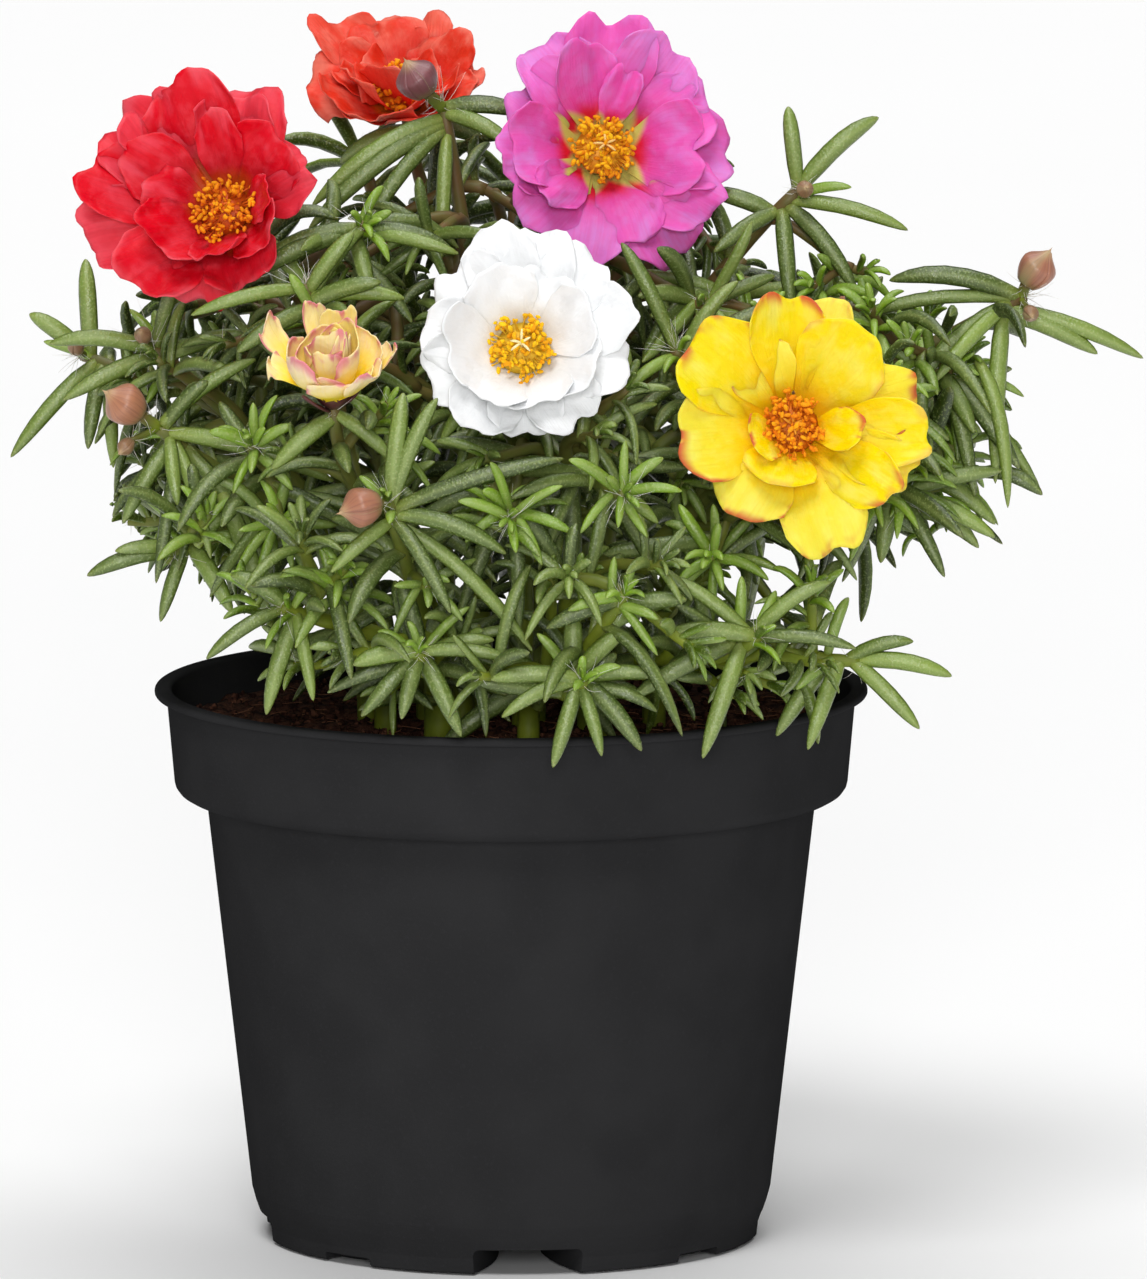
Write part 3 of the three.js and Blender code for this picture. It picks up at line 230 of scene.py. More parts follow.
# Buds: base, pointing direction, length, radius, stem that carries it, and how purple it is.
BUDS = {
    "bud_right": [[86, -11, 162.5], [0.55, -0.25, 0.8], 8.2, 2.8, "right", 0.3],
    "bud_right_small": [[86.5, -13.5, 158.4], [0.1, -0.95, -0.2], 4.2, 1.7, "right", 0.4],
    "bud_left": [[-61.5, -33, 143.5], [-0.75, -0.35, 0.55], 8.4, 3.1, "left_bud", 0.1],
    "bud_left_small": [[-63, -35, 139.5], [-0.5, -0.7, -0.5], 4.2, 1.7, "left_bud", 0.2],
    "bud_centre": [[-21.5, -64, 133], [-0.85, -0.45, -0.15], 8.2, 2.9, "front_left", 0.25],
    "bud_orange": [[-14, 2, 193], [-0.5, -0.3, 0.8], 8, 3.2, "orange", 1.0],
    "bud_upper_left": [[-61, -18, 154], [-0.2, -0.8, 0.5], 4.5, 1.8, "left", 0.3],
    "bud_far_left": [[-72.5, 1, 149.5], [-0.2, -0.8, 0.5], 4.4, 1.7, "left", 0.3],
    "bud_upper_right": [[49, -12.5, 178.5], [0.1, -0.95, 0.2], 4.4, 1.8, "upper_right", 0.4],
    "bud_back": [[4, 71, 149], [0.1, 0.75, 0.6], 8, 3.1, "back", 0.3],
    "bud_back_left": [[-48, 47, 158], [-0.5, 0.5, 0.65], 7.6, 3.0, "back_left", 0.5],
    "bud_back_right": [[56, 45, 148], [0.5, 0.45, 0.7], 7.6, 3.0, "back_right", 0.2],
}
# A bud's balls where the foliage keeps clear of it: share of its length, and of its radius.
BUD_BALLS = [[0.25, 0.85], [0.45, 1], [0.7, 0.7], [0.95, 0.2]]

# Shoots by stem: fraction of the stem's length at which it leaves it (0: from the soil), tip or
# bloom, and leaves: tips from the shoot's tip (right, up, forward in the front view), or a ring
# of leaves: [count, length, spread in degrees, first turn].
SHOOTS = {
    "front": [
        [0, [12, -66, 104], [[-15, 0, 2], [-13, -5, 5], [-4, -15, 3], [4, -12, 6],
            [11, -10, 3], [14, 1, 2], [8, 9, 2], [-6, 8, 3], [0, 12, 1]]],
        [0.7, [19, -64, 118], [[-9, -2, 4], [-12, -5, 2], [6, -9, 3], [7, -2, 5],
            [12, 1, 2], [0, 9, 3]]]],
    "front_right": [
        [0, [41, -57, 110], [[-15, 0, 2], [-14, 10, 1], [13, 11, 2], [18, -1, 3],
            [-6, -19, 3], [-18, -10, 1], [1, 11, 2]]],
        [0.65, [58, -46, 104], [[16, -2, 1], [11, -12, 2], [11, 4, 2],
            [-5, -14, 4], [-7, -5, 4], [-9, -13, 0], [3, 11, 1]]]],
    "front_left": [
        [0, [-15, -61, 108], [[-11, -2, 3], [15, -1, 2], [-9, -11, 2],
            [-3, -10, 5], [6, -13, 3], [8, 8, 2], [-4, 13, 1], [12, 3, 3]]],
        [0.5, [-20, -62, 133], [[3, 20, 1], [9, 17, 2], [28, 10, 1], [19, -5, 3],
            [10, -16, 3], [-10, -9, 3], [23, -19, -3]]],
        [0.45, [-38, -52, 114], [[-13, -8, 2], [-9, 7, 2], [6, 8, 3], [3, -14, 4],
            [-6, -16, 1]]]],
    "white": [
        [0, "white", [[-14, -12, 1], [15, -11, 0]]],
        [0.62, [0, -63, 130], [[-8, 4, 3], [8, 6, 3], [-3, 9, 3], [10, -3, 3],
            [4, -9, 4], [-7, -6, 4]]],
        [0.55, [19, -62, 134], [[0, 9, 3], [10, 1, 3], [7, 6, 2], [-9, 4, 3],
            [-6, -7, 4], [5, -8, 4]]]],
    "yellow": [
        [0, "yellow", [[-13, -9, -1], [11, -13, -1]]],
        [0.6, [27.5, -37, 155], [[-10, 19, 2], [-9, -5, 4], [9, 14, 2], [16, 10, 1],
            [5, 11, 4], [-5, 12, 1]]]],
    "half_open": [
        [0, "half_open", [[10, -8, 1], [-10, -9, 1]]],
        [0.75, [-34, -38, 166], [[-19, -5, 2], [8, 10, 2], [16, 0, 2], [12, 3, 5],
            [-12, -8, 4], [-4, 6, 3]]]],
    "left_bud": [
        [0, [-59, -31, 141.5], [[16, 12, 2], [8, 9, 4], [28, -9, 2], [1, -12, 5],
            [7, -19, 3], [-9, -13, 2], [-3, -22, 1], [16, -24, -2]]],
        [0.55, [-43, -44, 140], [[-7, 3, 4], [7, 4, 3], [0, 8, 3], [-4, -7, 4],
            [6, -6, 3]]],
        [0.6, [-56, -30, 120], [[-15, -4, 2], [-11, -1, 4], [-4, -12, 3],
            [7, -11, 4], [-8, 8, 2], [5, 9, 3]]]],
    "right": [
        [0, [86, -10, 160.5], [[-22, 5, 2], [-29, -3, 0], [-18, -14, 6], [-12, -13, 9],
            [-3, -29, 3], [24, -9, -3], [17, -7, -1]]],
        [0.75, [74, -15, 148], [[11, -17, 2], [5, -20, 5], [16, -19, -3], [6, -10, 8],
            [-2, 9, 4], [6, 8, 2]]],
        [0.6, [66, -24, 128], [[15, -6, 2], [17, 3, 0], [7, -14, 3], [-3, -12, 4],
            [4, 10, 3]]]],
    "left": [
        [0, [-60, -15, 152.5], [[6, 18, 6], [-18, 3, 2], [-16, -8, 4], [14, 4, 3],
            [-6, 9, 2], [-4, -7, 6]]],
        [0.7, [-72, 5, 148.5], [[-10, 7, 1], [-1, 17, 0], [-9, 1, 4], [-14, -16, 2],
            [-3, -15, 3], [1, -18, -2]]]],
    "red": [
        [0, "red", [[-12, -10, -2], [13, -12, -1]]],
        [0.75, [-24, -24, 174], [[-9, -11, 4], [-17, -2, 2], [-20, -6, 3], [16, -2, 2],
            [17, -5, 5], [3, -11, 5]]]],
    "magenta": [
        [0, "magenta", [[14, -14, -2], [-12, -14, -2]]],
        [0.7, [33, -24, 160], [7, 15, 72, 20]]],
    "orange": [
        [0, [-11.5, 4, 191], [[14, 0, 1], [12, -5, 4], [-22, -13, 2], [-23, -18, 4],
            [-16, -19, 6], [-1, -23, 4]]],
        [0.55, "orange", [[13, -2, -5], [-12, -5, -4]]]],
    "upper_right": [
        [0, [48.5, -9, 178.5], [[-2, 15, 2], [14, 14, 0], [10, 2, 4],
            [20, -5, 2], [14, -12, 3], [1, -17, 5], [-12, -5, 4], [-11, 5, 2]]],
        [0.7, [57, 17, 148], [6, 16, 70, 40]]],
    "back_right": [
        [0, [54, 43, 146], [6, 17, 68, 0]],
        [0.6, [74, 26, 134], [6, 18, 72, 30]],
        [0.5, [60, 44, 116], [6, 18, 74, 70]]],
    "back_right_inner": [
        [0, [24, 37, 178], [6, 16, 66, 10]],
        [0.6, [36, 62, 140], [6, 18, 72, 50]],
        [0.45, [29, 66, 112], [6, 17, 76, 20]]],
    "back": [
        [0, [4, 69, 148], [6, 18, 70, 30]],
        [0.6, [0, 54, 172], [6, 17, 68, 0]],
        [0.5, [-2, 70, 118], [6, 18, 74, 60]]],
    "back_left_inner": [
        [0, [-26, 40, 178], [6, 18, 66, 45]],
        [0.6, [-30, 60, 138], [6, 18, 72, 15]],
        [0.45, [-30, 64, 112], [6, 17, 76, 55]]],
    "back_left": [
        [0, [-47, 45, 156], [6, 18, 68, 20]],
        [0.6, [-61, 31, 131], [6, 15, 72, 60]],
        [0.5, [-51, 44, 113], [6, 15, 74, 0]]],
}

# Bright small-leaved shoots: stem, and the places of the shoots' tips.
YOUNG_SHOOTS = [
    ["left_bud", [-37, -48, 127]], ["front_left", [-44, -46, 118]], ["white", [-3, -60, 136]],
    ["left_bud", [-50, -40, 128]],
    ["right", [60, -20, 160], [66, -25, 155], [72, -18, 150], [63, -34, 150], [57, -27, 155],
     [65, -30, 142], [76, -16, 138], [72, -20, 130], [60, -36, 132]],
    ["yellow", [33, -50, 122]], ["front_right", [50, -50, 118]], ["half_open", [-20, -52, 148]],
    ["front_left", [-27, -58, 122]],
    ["right", [77, -6, 151], [70, -4, 157], [79, -12, 143], [73, -8, 137], [67, -30, 136],
     [75, -4, 129], [66, -12, 123]],
    ["upper_right", [60, -12, 165], [50, -16, 163]], ["magenta", [44, -22, 160]],
]

# Long drooping leaves: stem, and each leaf's foot, and its tip from it (right, up, forward).
DROOPING_LEAVES = [
    ["right", [[80, -10, 157], [5, -30, 4]], [[77, -12, 154], [9, -27, 3]],
     [[73, -12, 151], [-1, -28, 5]], [[82, -9, 158], [-5, -27, 7]], [[68, -16, 146], [7, -25, 4]],
     [[64, -20, 140], [12, -20, 3]], [[70, -16, 136], [10, -18, 4]], [[62, -22, 131], [9, -20, 5]],
     [[78, -14, 150], [8, -22, 4]], [[74, -16, 144], [12, -16, 2]], [[70, -20, 141], [3, -22, 4]],
     [[84, -8, 160], [3, -22, 9]], [[78, -14, 131], [11, -2, 2]], [[68, -18, 130.8], [13, -7, 2]],
     [[65, -18, 125.1], [13.5, -3, 2]]],
    ["upper_right", [[44, -8, 172], [8, -17, 6]], [[42, -6, 168], [16, -9, 3]],
     [[40, -4, 160], [19, -3, 4]]],
    ["left_bud", [[-56, -30, 138], [-4, -26, 5]], [[-52, -30, 134], [-9, -22, 4]],
     [[-48, -32, 130], [8, -24, 5]]],
]

# The foliage's outline as the front camera sees it: [x, height], where a point's height there
# is its z and 0.15 of its y. The plant's finest leaves stay inside it.
OUTLINE = [[-42, 93], [-44, 100], [-48, 107], [-59, 112], [-66, 117], [-68, 126], [-70, 138],
           [-71, 150], [-67, 160], [-52, 165], [-34, 178], [-30, 186], [-12, 190], [0, 190],
           [8, 186], [34, 178], [40, 170], [40, 167], [48, 165], [60, 167], [72, 164], [84, 158],
           [91, 150], [92, 138], [89, 126], [78, 119], [61, 115], [55, 109], [54, 101], [56, 92],
           [32, 82], [8, 80], [-19, 86]]

# ---- Vectors, curves and frames ----


def vec(values):
    return np.array(values, float)


def unit(vector):
    return vector / np.linalg.norm(vector)


def lerp(a, b, share):
    return a + (b - a) * share


def smoothstep(x, low, high):
    share = np.clip((x - low) / (high - low), 0, 1)
    return share * share * (3 - 2 * share)


def clocks(count):
    """Angles of evenly spaced points round a circle."""
    return 2 * np.pi * np.arange(count) / count


def circle(radius, height, angle):
    """Points at angles round the upright axis."""
    return np.stack(np.broadcast_arrays(radius * np.cos(angle), radius * np.sin(angle), height), -1)


def heading(clock, spread):
    """A direction by its angle round the third axis and its spread from it, in radians."""
    return vec([math.sin(clock) * math.sin(spread), math.cos(clock) * math.sin(spread),
                math.cos(spread)])


def outlook_frame(forward):
    """Axes across (right, up) and along (forward) a direction of outlook, as rows."""
    right = unit(np.cross(UP, forward))
    return np.array([right, np.cross(forward, right), forward])


def spokes(axes, angle):
    """Directions at angles from the first of a frame's axes towards its second."""
    return np.cos(angle)[..., None] * axes[0] + np.sin(angle)[..., None] * axes[1]


RISE = math.radians(OUTLOOK_RISE)
FRONT = outlook_frame(vec([0, -math.cos(RISE), math.sin(RISE)]))


def bezier(controls, shares):
    """Points of a curve of any degree at shares of its length."""
    t = np.atleast_1d(shares)[:, None]
    points = controls
    while len(points) > 1:
        points = [a * (1 - t) + b * t for a, b in zip(points, points[1:])]
    return points[0]


def length_of(points):
    return np.linalg.norm(np.diff(points, axis=0), axis=1).sum()


def tangents_of(points):
    along = np.gradient(points, axis=0)
    return along / np.linalg.norm(along, axis=1)[:, None]


# ---- Room for the pieces ----


class Room:
    """Laid pieces as balls. A new piece of another node has to clear them."""

    def __init__(self):
        self.at = np.zeros((0, 3))
        self.radius = np.zeros(0)
        self.node = np.zeros(0, int)
        self.hard = np.zeros(0, bool)
        self.names = {}

    def number(self, name):
        return self.names.setdefault(name, len(self.names))

    def lay(self, name, at, radius, hard=False):
        count = len(at)
        self.at = np.vstack([self.at, at])
        self.radius = np.append(self.radius, np.broadcast_to(radius, count))
        self.node = np.append(self.node, np.full(count, self.number(name)))
        self.hard = np.append(self.hard, np.full(count, hard))

    def gap(self, at, radius, chosen):
        """The narrowest gap from the balls to the chosen laid balls."""
        if not chosen.any():
            return math.inf
        apart = np.linalg.norm(at[:, None] - self.at[chosen], axis=2)
        return (apart - self.radius[chosen] - np.reshape(radius, (-1, 1))).min()

    def clear(self, name, at, radius, rooted=False):
        """Whether balls of a node clear the pot, unless they root in it, and other nodes."""
        if not (clears_pot(at, radius) | rooted).all():
            return False
        return self.gap(at, radius, self.node != self.number(name)) > BEND_CLEARANCE


def clears_pot(at, radius):
    """Over the rim, inside the pot above the soil, or outside the pot, for each ball."""
    reach = np.hypot(at[:, 0], at[:, 1])
    lowest = at[:, 2] - radius
    inside = reach + radius < COLLAR_RADIUS - WALL - BEND_CLEARANCE
    inside &= lowest > SOIL_HEIGHT + SOIL_BUMP
    outside = reach - radius > RIM_RADIUS + BEND_CLEARANCE
    return (lowest > POT_HEIGHT + BEND_CLEARANCE) | inside | outside


def inside_outline(points):
    """Whether the front camera sees each point inside the foliage's outline."""
    x, height = points[:, 0], points[:, 2] + OUTLINE_SLANT * points[:, 1]
    inside = np.zeros(len(points), bool)
    for (x0, z0), (x1, z1) in zip(OUTLINE, OUTLINE[1:] + OUTLINE[:1]):
        if z0 != z1:
            crossing = x0 + (height - z0) * (x1 - x0) / (z1 - z0)
            inside ^= ((z0 > height) != (z1 > height)) & (x < crossing)
    return inside


# ---- Shoots and leaves: where they lie ----

# Ways to bend a leaf (a turn in degrees and a reach forward) or a shoot (a sway and a rise) until
# it has room.
LEAF_TRIALS = [[0, 0], [7, 1], [-7, 1], [0, 3], [12, 3], [-12, 3], [0, 6], [18, 5], [-18, 5],
               [8, -3], [-8, -3], [0, 9], [26, 4], [-26, 4]]
SHOOT_TRIALS = [[0, 0], [4, 0], [-4, 0], [0, 4], [0, -4], [7, 3], [-7, 3], [7, -3], [-7, -3],
                [10, 0], [-10, 0], [0, 8], [14, 4], [-14, 4]]


def leaf_controls(base, offset, forward):
    length = np.linalg.norm(offset)
    middle = base + 0.5 * offset + forward * LEAF_BOW["forward"] * length
    return [base, middle + UP * LEAF_BOW["up"] * length, base + offset]


def turned_offset(offset, trial):
    right, up, forward = offset
    degrees, extra = trial
    cos, sin = math.cos(math.radians(degrees)), math.sin(math.radians(degrees))
    return vec([right * cos + up * sin, up * cos - right * sin, forward + extra])


def lay_leaf(room, stem, base, tip_offset, axes):
    young = np.linalg.norm(tip_offset) < YOUNG_LEAF_LENGTH
    width = YOUNG_LEAF_WIDTH if young else LEAF_WIDTH
    shares = np.arange(1, LEAF_TEST_POINTS + 1) / LEAF_TEST_POINTS
    for trial in LEAF_TRIALS:
        offset = turned_offset(tip_offset, trial) @ axes
        controls = leaf_controls(base, offset, axes[2])
        at = bezier(controls, shares)
        if room.clear(stem["name"], at, width / 2):
            room.lay(stem["name"], at, width / 2)
            stem["leaves"].append({"controls": controls, "width": width, "forward": axes[2]})
            return


def ring_offsets(ring):
    """Offsets of a ring's leaves, a little uneven in their turns and lengths."""
    count, length, degrees, turn = ring
    offsets = []
    for i in range(count):
        clock = math.radians(turn + 360 * i / count + 9 * math.sin(5 * i))
        uneven = 1 + 0.14 * math.sin(3.1 * i + turn)
        offsets.append(length * heading(clock, math.radians(degrees)) * [uneven, uneven, 1])
    return offsets


def bloom_frame(bloom):
    """A bloom's centre, its axis, and the axes of its outlook."""
    axis = unit(vec(bloom["axis"]))
    return vec(bloom["centre"]), axis, outlook_frame(axis)


def shoot_controls(start, end, direction, trial, bend):
    """A shoot's curve: it leans out and rises from its start, and ends along a direction."""
    sway, rise = trial
    outward = end - start
    reach = np.linalg.norm(outward)
    sideways = unit(vec([-outward[1], outward[0], 0])) * sway
    first = start + outward * bend["along"] + sideways + UP * (bend["rise"] * reach + rise)
    last = end - direction * bend["lead"] * reach + sideways * bend["sway"]
    return [start, first, last, end]


def shoot_end(target, start, main):
    """Where a shoot ends, under its bloom or at its tip, and the direction that it has there."""
    if isinstance(target, str):
        centre, axis, _ = bloom_frame(BLOOMS[target])
        return centre + axis * (RECEPTACLE_BOTTOM - SEAT_GAP), axis
    end = vec(target)
    behind = vec([start[0], start[1], end[2] - TIP_LEAN_DEPTH]) if main else start
    return end, unit(end - behind)


def lay_shoot(room, stem, fraction, target, leaves):
    main = fraction == 0
    start, start_radius, bend = stem["foot"] + UP * NECK_RISE, stem["radius"], MAIN_BEND
    if not main:
        start = bezier(stem["controls"], fraction)[0]
        start_radius = lerp(start_radius, STEM_TIP_RADIUS, fraction) * BRANCH_SLENDERNESS
        bend = BRANCH_BEND
    end, direction = shoot_end(target, start, main)
    shares = np.arange(SHOOT_TEST_POINTS + 1) / SHOOT_TEST_POINTS
    radius = lerp(start_radius, STEM_TIP_RADIUS, shares)[:-SHOOT_FREE_END]
    for trial in SHOOT_TRIALS:
        controls = shoot_controls(start, end, direction, trial, bend)
        at = bezier(controls, shares)[:-SHOOT_FREE_END]
        if room.clear(stem["name"], at, radius, at[:, 2] < POT_HEIGHT):
            break
    room.lay(stem["name"], at, radius)
    steps = max(2, round(length_of(bezier(controls, np.linspace(0, 1, 201))) / STEM_STEP))
    corners = list(bezier(controls, np.arange(steps + 1) / steps))
    if main:
        stem["controls"] = controls
        corners.insert(0, stem["foot"] - UP * ROOT_DEPTH)
    stem["shoots"].append({"end": end, "direction": direction, "main": main, "leaves": leaves,
                           "corners": corners, "controls": controls, "fine": False,
                           "start_radius": start_radius, "bloom": isinstance(target, str)})


def lay_tip_leaves(room, stem):
    for shoot in stem["shoots"]:
        leaves, end, before = shoot["leaves"], shoot["end"], shoot["corners"][-2]
        ring = not isinstance(leaves[0], list)
        axes = outlook_frame(shoot["direction"]) if ring else FRONT
        step = LEAF_SPACING / np.linalg.norm(end - before)
        for i, offset in enumerate(ring_offsets(leaves) if ring else leaves):
            lay_leaf(room, stem, lerp(end, before, step * (i + 1)), vec(offset), axes)


def lay_lower_leaves(room, stem):
    for k, shoot in enumerate(stem["shoots"]):
        corners = shoot["corners"]
        for i, share in enumerate(MAIN_LEAF_PLACES if shoot["main"] else BRANCH_LEAF_PLACES):
            place = share * (len(corners) - 1)
            start, end = corners[int(place)], corners[int(place) + 1]
            clock = math.radians(GOLDEN_ANGLE * (i + 3 * k) + 10 * stem["foot"][0])
            reach = LOWER_LEAF_REACH * LOWER_LEAF_LENGTH
            offset = vec([reach * math.sin(clock), reach * math.cos(clock),
                          LOWER_LEAF_LEAD * LOWER_LEAF_LENGTH])
            lay_leaf(room, stem, lerp(start, end, place % 1), offset,
                     outlook_frame(unit(end - start)))


# ---- Blooms: where the petals lie ----

# Folds of a fine petal: depth, the power of the length's share that it grows with, waves along
# and across the petal, and its share of the petal's own phase.
FOLDS = [[1.1, 2, 0, 2.7, 1], [0.6, 2, 2.5, 5.3, 1.7], [0.24, 3, -4, 9.5, 2.3],
         [0.14, 5, 0, 17, 1.1], [0.42, 1, 6.5, 3.1, 1.9], [0.26, 1, 12, -6, 2.7],
         [0.12, 1, 20, 9, 0.7]]


def petal_heading(petal, axis):
    """A petal's direction away from its bloom's axis, and how far from it the tip is."""
    right, up, tip_height = petal[:3]
    offset = vec([right, up, 0]) @ FRONT
    offset = offset + FRONT[2] * (tip_height - offset @ axis) / (FRONT[2] @ axis)
    outward = offset - axis * tip_height
    reach = np.linalg.norm(outward)
    return outward / reach, reach


def wrapped(radius, aside, reach, wrap):
    """A petal bent about its bloom's axis, a short one more than a long one."""
    around = np.maximum(radius, 4)
    turn = aside / around * wrap * lerp(0.35, 1, smoothstep(reach, 11, 7))
    return radius * np.cos(turn), lerp(aside, around * np.sin(turn), wrap)


def petal_surface(bloom, petal, index, u, v, fine=False):
    """Points of a petal at shares of its length (0 to 1) and of its width (-1 to 1)."""
    tip_height, width = petal[2:4]
    cup = petal[4] if len(petal) > 4 else PETAL_CUP
    centre, axis, _ = bloom_frame(bloom)
    outward, reach = petal_heading(petal, axis)
    inner = min(max((tip_height + 1) / 7, 0), 1)
    phase = 2.4 * index + reach
    share = u * (1 - 0.28 * np.abs(v) ** 2.4 * u) * (1 - 0.05 * u * np.exp(-9 * v * v))
    waves = PETAL_RUFFLE * u * u * np.sin(2.7 * v + phase)
    half = (width / 2) * lerp(0.16, 1, smoothstep(u, 0, 0.85))
    if fine:
        share, waves, half = ruffles(u, v, phase, width, bloom.get("scallop", 1))
        waves = waves * bloom.get("crumple", 1) + 0.17 * math.sin(2.9 * phase) * half * v * u
        cup = cup * (1 + 0.9 * math.sin(1.3 * phase))
    rest = 1 - share
    radius = rest * rest * PETAL_FOOT[0] + share * (2 - share) * reach - share * rest * 0.9 * reach
    if fine:
        radius = radius + 4 * share * rest * bloom.get("bulge", 0) * reach
    foot_height = PETAL_FOOT[1] + 1.9 * inner
    arch = reach * lerp(0.14, -0.05, inner)
    height = lerp(foot_height, tip_height, share) + 4 * share * rest * arch
    height = height + cup * width * v * v * u + waves
    aside = v * half
    if fine and "wrap" in bloom:
        radius, aside = wrapped(radius, aside, reach, bloom["wrap"])
    return (centre + radius[..., None] * outward + height[..., None] * axis
            + aside[..., None] * np.cross(axis, outward))


def ruffles(u, v, phase, width, scallop):
    """A fine petal's outline and folds: round shoulders, a scalloped margin, pleats and a curl."""
    margin = 0.03 * np.sin(4.4 * v + phase) + 0.016 * scallop * np.sin(9.7 * v + 2.3 * phase)
    margin = margin + 0.005 * scallop * np.sin(23 * v + 3.1 * phase)
    notch = 0.03 + 0.06 * scallop * max(0, math.sin(3.3 * phase))
    share = u * (1 - 0.27 * np.abs(v) ** 2.8 * u) * (1 - notch * u * np.exp(-9 * v * v))
    waves = 1.9 * math.sin(1.9 * phase) * u ** 4 * (1 + 0.6 * v)
    for depth, power, along, across, shift in FOLDS:
        waves = waves + depth * u ** power * np.sin(along * u + across * v + shift * phase)
    half = 0.525 * width * lerp(0.3, 1, smoothstep(u, 0, 0.72)) * (1 + 0.5 * margin)
    return share * (1 + margin * u ** 3), waves, half


def lay_hard_pieces(room):
    """Petals, stamens and buds, which nothing may touch."""
    u, v = np.meshgrid([0.3, 0.48, 0.66, 0.84, 1], [-1, -0.5, 0, 0.5, 1], indexing="ij")
    for name, bloom in BLOOMS.items():
        for i, petal in enumerate(bloom["petals"]):
            at = petal_surface(bloom, petal, i, u, v).reshape(-1, 3)
            room.lay("petals_" + name, at, PETAL_BALL, hard=True)
        if name != "half_open":
            room.lay("stamens_" + name, vec([bloom["centre"]]), STAMENS["reach"], hard=True)
    for name, (base, direction, length, radius, _, _) in BUDS.items():
        for share, size in BUD_BALLS:
            at = vec([base]) + unit(vec(direction)) * share * length
            room.lay(name, at, size * radius, hard=True)


def lay_plant():
    """Every shoot and leaf that the solids have, in the same order."""
    room = Room()
    lay_hard_pieces(room)
    stems = {name: {"name": name, "radius": radius, "foot": vec([x, y, SOIL_HEIGHT]),
                    "shoots": [], "leaves": []}
             for name, ((x, y), radius) in STEMS.items()}
    for main in (True, False):
        for name, shoots in SHOOTS.items():
            for fraction, target, leaves in shoots:
                if (fraction == 0) == main:
                    lay_shoot(room, stems[name], fraction, target, leaves)
    for stem in stems.values():
        lay_tip_leaves(room, stem)
    for stem in stems.values():
        lay_lower_leaves(room, stem)
    return room, stems


# ---- Finer foliage between the solids' leaves ----

# Shares of a leaf's length where it is tested, the room that it needs from petals and buds, and
# how far a leaf of a rosette or along a shoot keeps off its neighbours, as a share of its width.
FINE_TEST_SHARES = [0.22, 0.4, 0.55, 0.7, 0.85, 1.0]
FINE_CLEARANCE = 0.25
ROSETTE_LOOSENESS = 0.55
ALONG_LOOSENESS = 0.5
BLOOM_DEPTH = 4
DROOPING_WIDTH = 3.9
# Rosettes: count of leaves, their lengths and their spreads from the outermost to the innermost,
# and how young they look.
ROSETTES = {"tip": [7, [9.5, 4], [60, 14], 0.75], "young": [11, [10.5, 4], [88, 14], 0.8],
            "under_young": [6, [13, 10], [92, 66], 0.5]}
# Leaves along the shoots: limits of their length, spread in degrees, width and distance apart.
ALONG = {"length": [13, 21], "spread": [58, 88], "width": [3.1, 4.3], "step": [3.0, 4.6]}
# Side shoots: tries on each stem, limits of where they leave it, of their rise and reach, of
# their leaves' count and length, and the rounded space that their tips stay in.
SIDE_SHOOTS = {"rounds": 150, "place": [0.3, 0.9], "rise": [-0.25, 0.9], "reach": [13, 30],
               "leaves": [9, 13], "length": [12, 20], "lowest": 98, "start_radius": 1.25}
PLANT_CENTRE = [3, 0, 105]
PLANT_REACH = [82, 70, 82]

BLOOM_DISCS = [(FRONT @ vec(bloom["centre"]),
                0.78 * max(math.hypot(*petal[:2]) for petal in bloom["petals"]))
               for bloom in BLOOMS.values()]


def hides_bloom(points):
    """Whether the front camera sees any of the points before a bloom."""
    seen = points @ FRONT.T
    return any(((seen[:, 2] > centre[2] - BLOOM_DEPTH)
                & (np.hypot(*(seen - centre)[:, :2].T) < reach)).any()
               for centre, reach in BLOOM_DISCS)


def fits(room, controls, width, looseness):
    """Whether a fine leaf keeps clear of blooms, buds and pot, and of most other leaves."""
    at = bezier(controls, FINE_TEST_SHARES)
    radius = width / 2
    if not clears_pot(at, radius * 0.9).all() or not inside_outline(at).all() or hides_bloom(at):
        return False
    if room.gap(at, radius, room.hard) < FINE_CLEARANCE:
        return False
    return room.gap(at[1:], radius * looseness, ~room.hard) > -looseness * width * 0.3


# A leaf's light caps its random tint. Low values paint it darker, partly as its older colour and
# partly as painted shade inside the foliage. Leaves along the shoots keep the default of 0.3.
def add_fine_leaf(room, stem, base, offset, forward, width, looseness, young=0.0, light=0.3):
    controls = leaf_controls(base, offset, forward)
    if not fits(room, controls, width, looseness):
        return False
    stem["leaves"].append({"controls": controls, "width": width, "forward": forward,
                           "young": young, "light": light})
    room.lay("fine", bezier(controls, vec([0.3, 0.5, 0.7, 0.9])), width * 0.4)
    return True


def fine_shoot(start, end, direction, trial, start_radius):
    return {"end": end, "direction": direction, "main": False, "bloom": False, "fine": True,
            "controls": shoot_controls(start, end, direction, trial, BRANCH_BEND),
            "start_radius": start_radius}


def add_rosette(room, stem, end, direction, rng, count, length, spreads, young):
    """Leaves round a shoot's tip: the outer ones long and spread, the inner short and upright."""
    axes = outlook_frame(direction)
    turn = rng.uniform(0, 360)
    laid = 0
    for i in range(count):
        share = i / max(1, count - 1)
        spread = math.radians(lerp(*spreads, share) + rng.uniform(-7, 7))
        size = lerp(*length, share) * rng.uniform(0.85, 1.12)
        local = heading(math.radians(turn + GOLDEN_ANGLE * i), spread) * size
        base = end - direction * (0.5 + 0.55 * (count - 1 - i))
        width = float(np.clip(1.2 + 0.12 * size, 1.7, 3.5))
        youth = float(np.clip(young + 0.4 * (1 - size / 12), 0, 1))
        # The outer, lower leaves of a rosette get a lower light: a darker tint, partly older colour
        # and partly painted shade.
        laid += add_fine_leaf(room, stem, base, local @ axes, direction, width, ROSETTE_LOOSENESS,
                              young=youth, light=lerp(0.45, 1, share))
    return laid


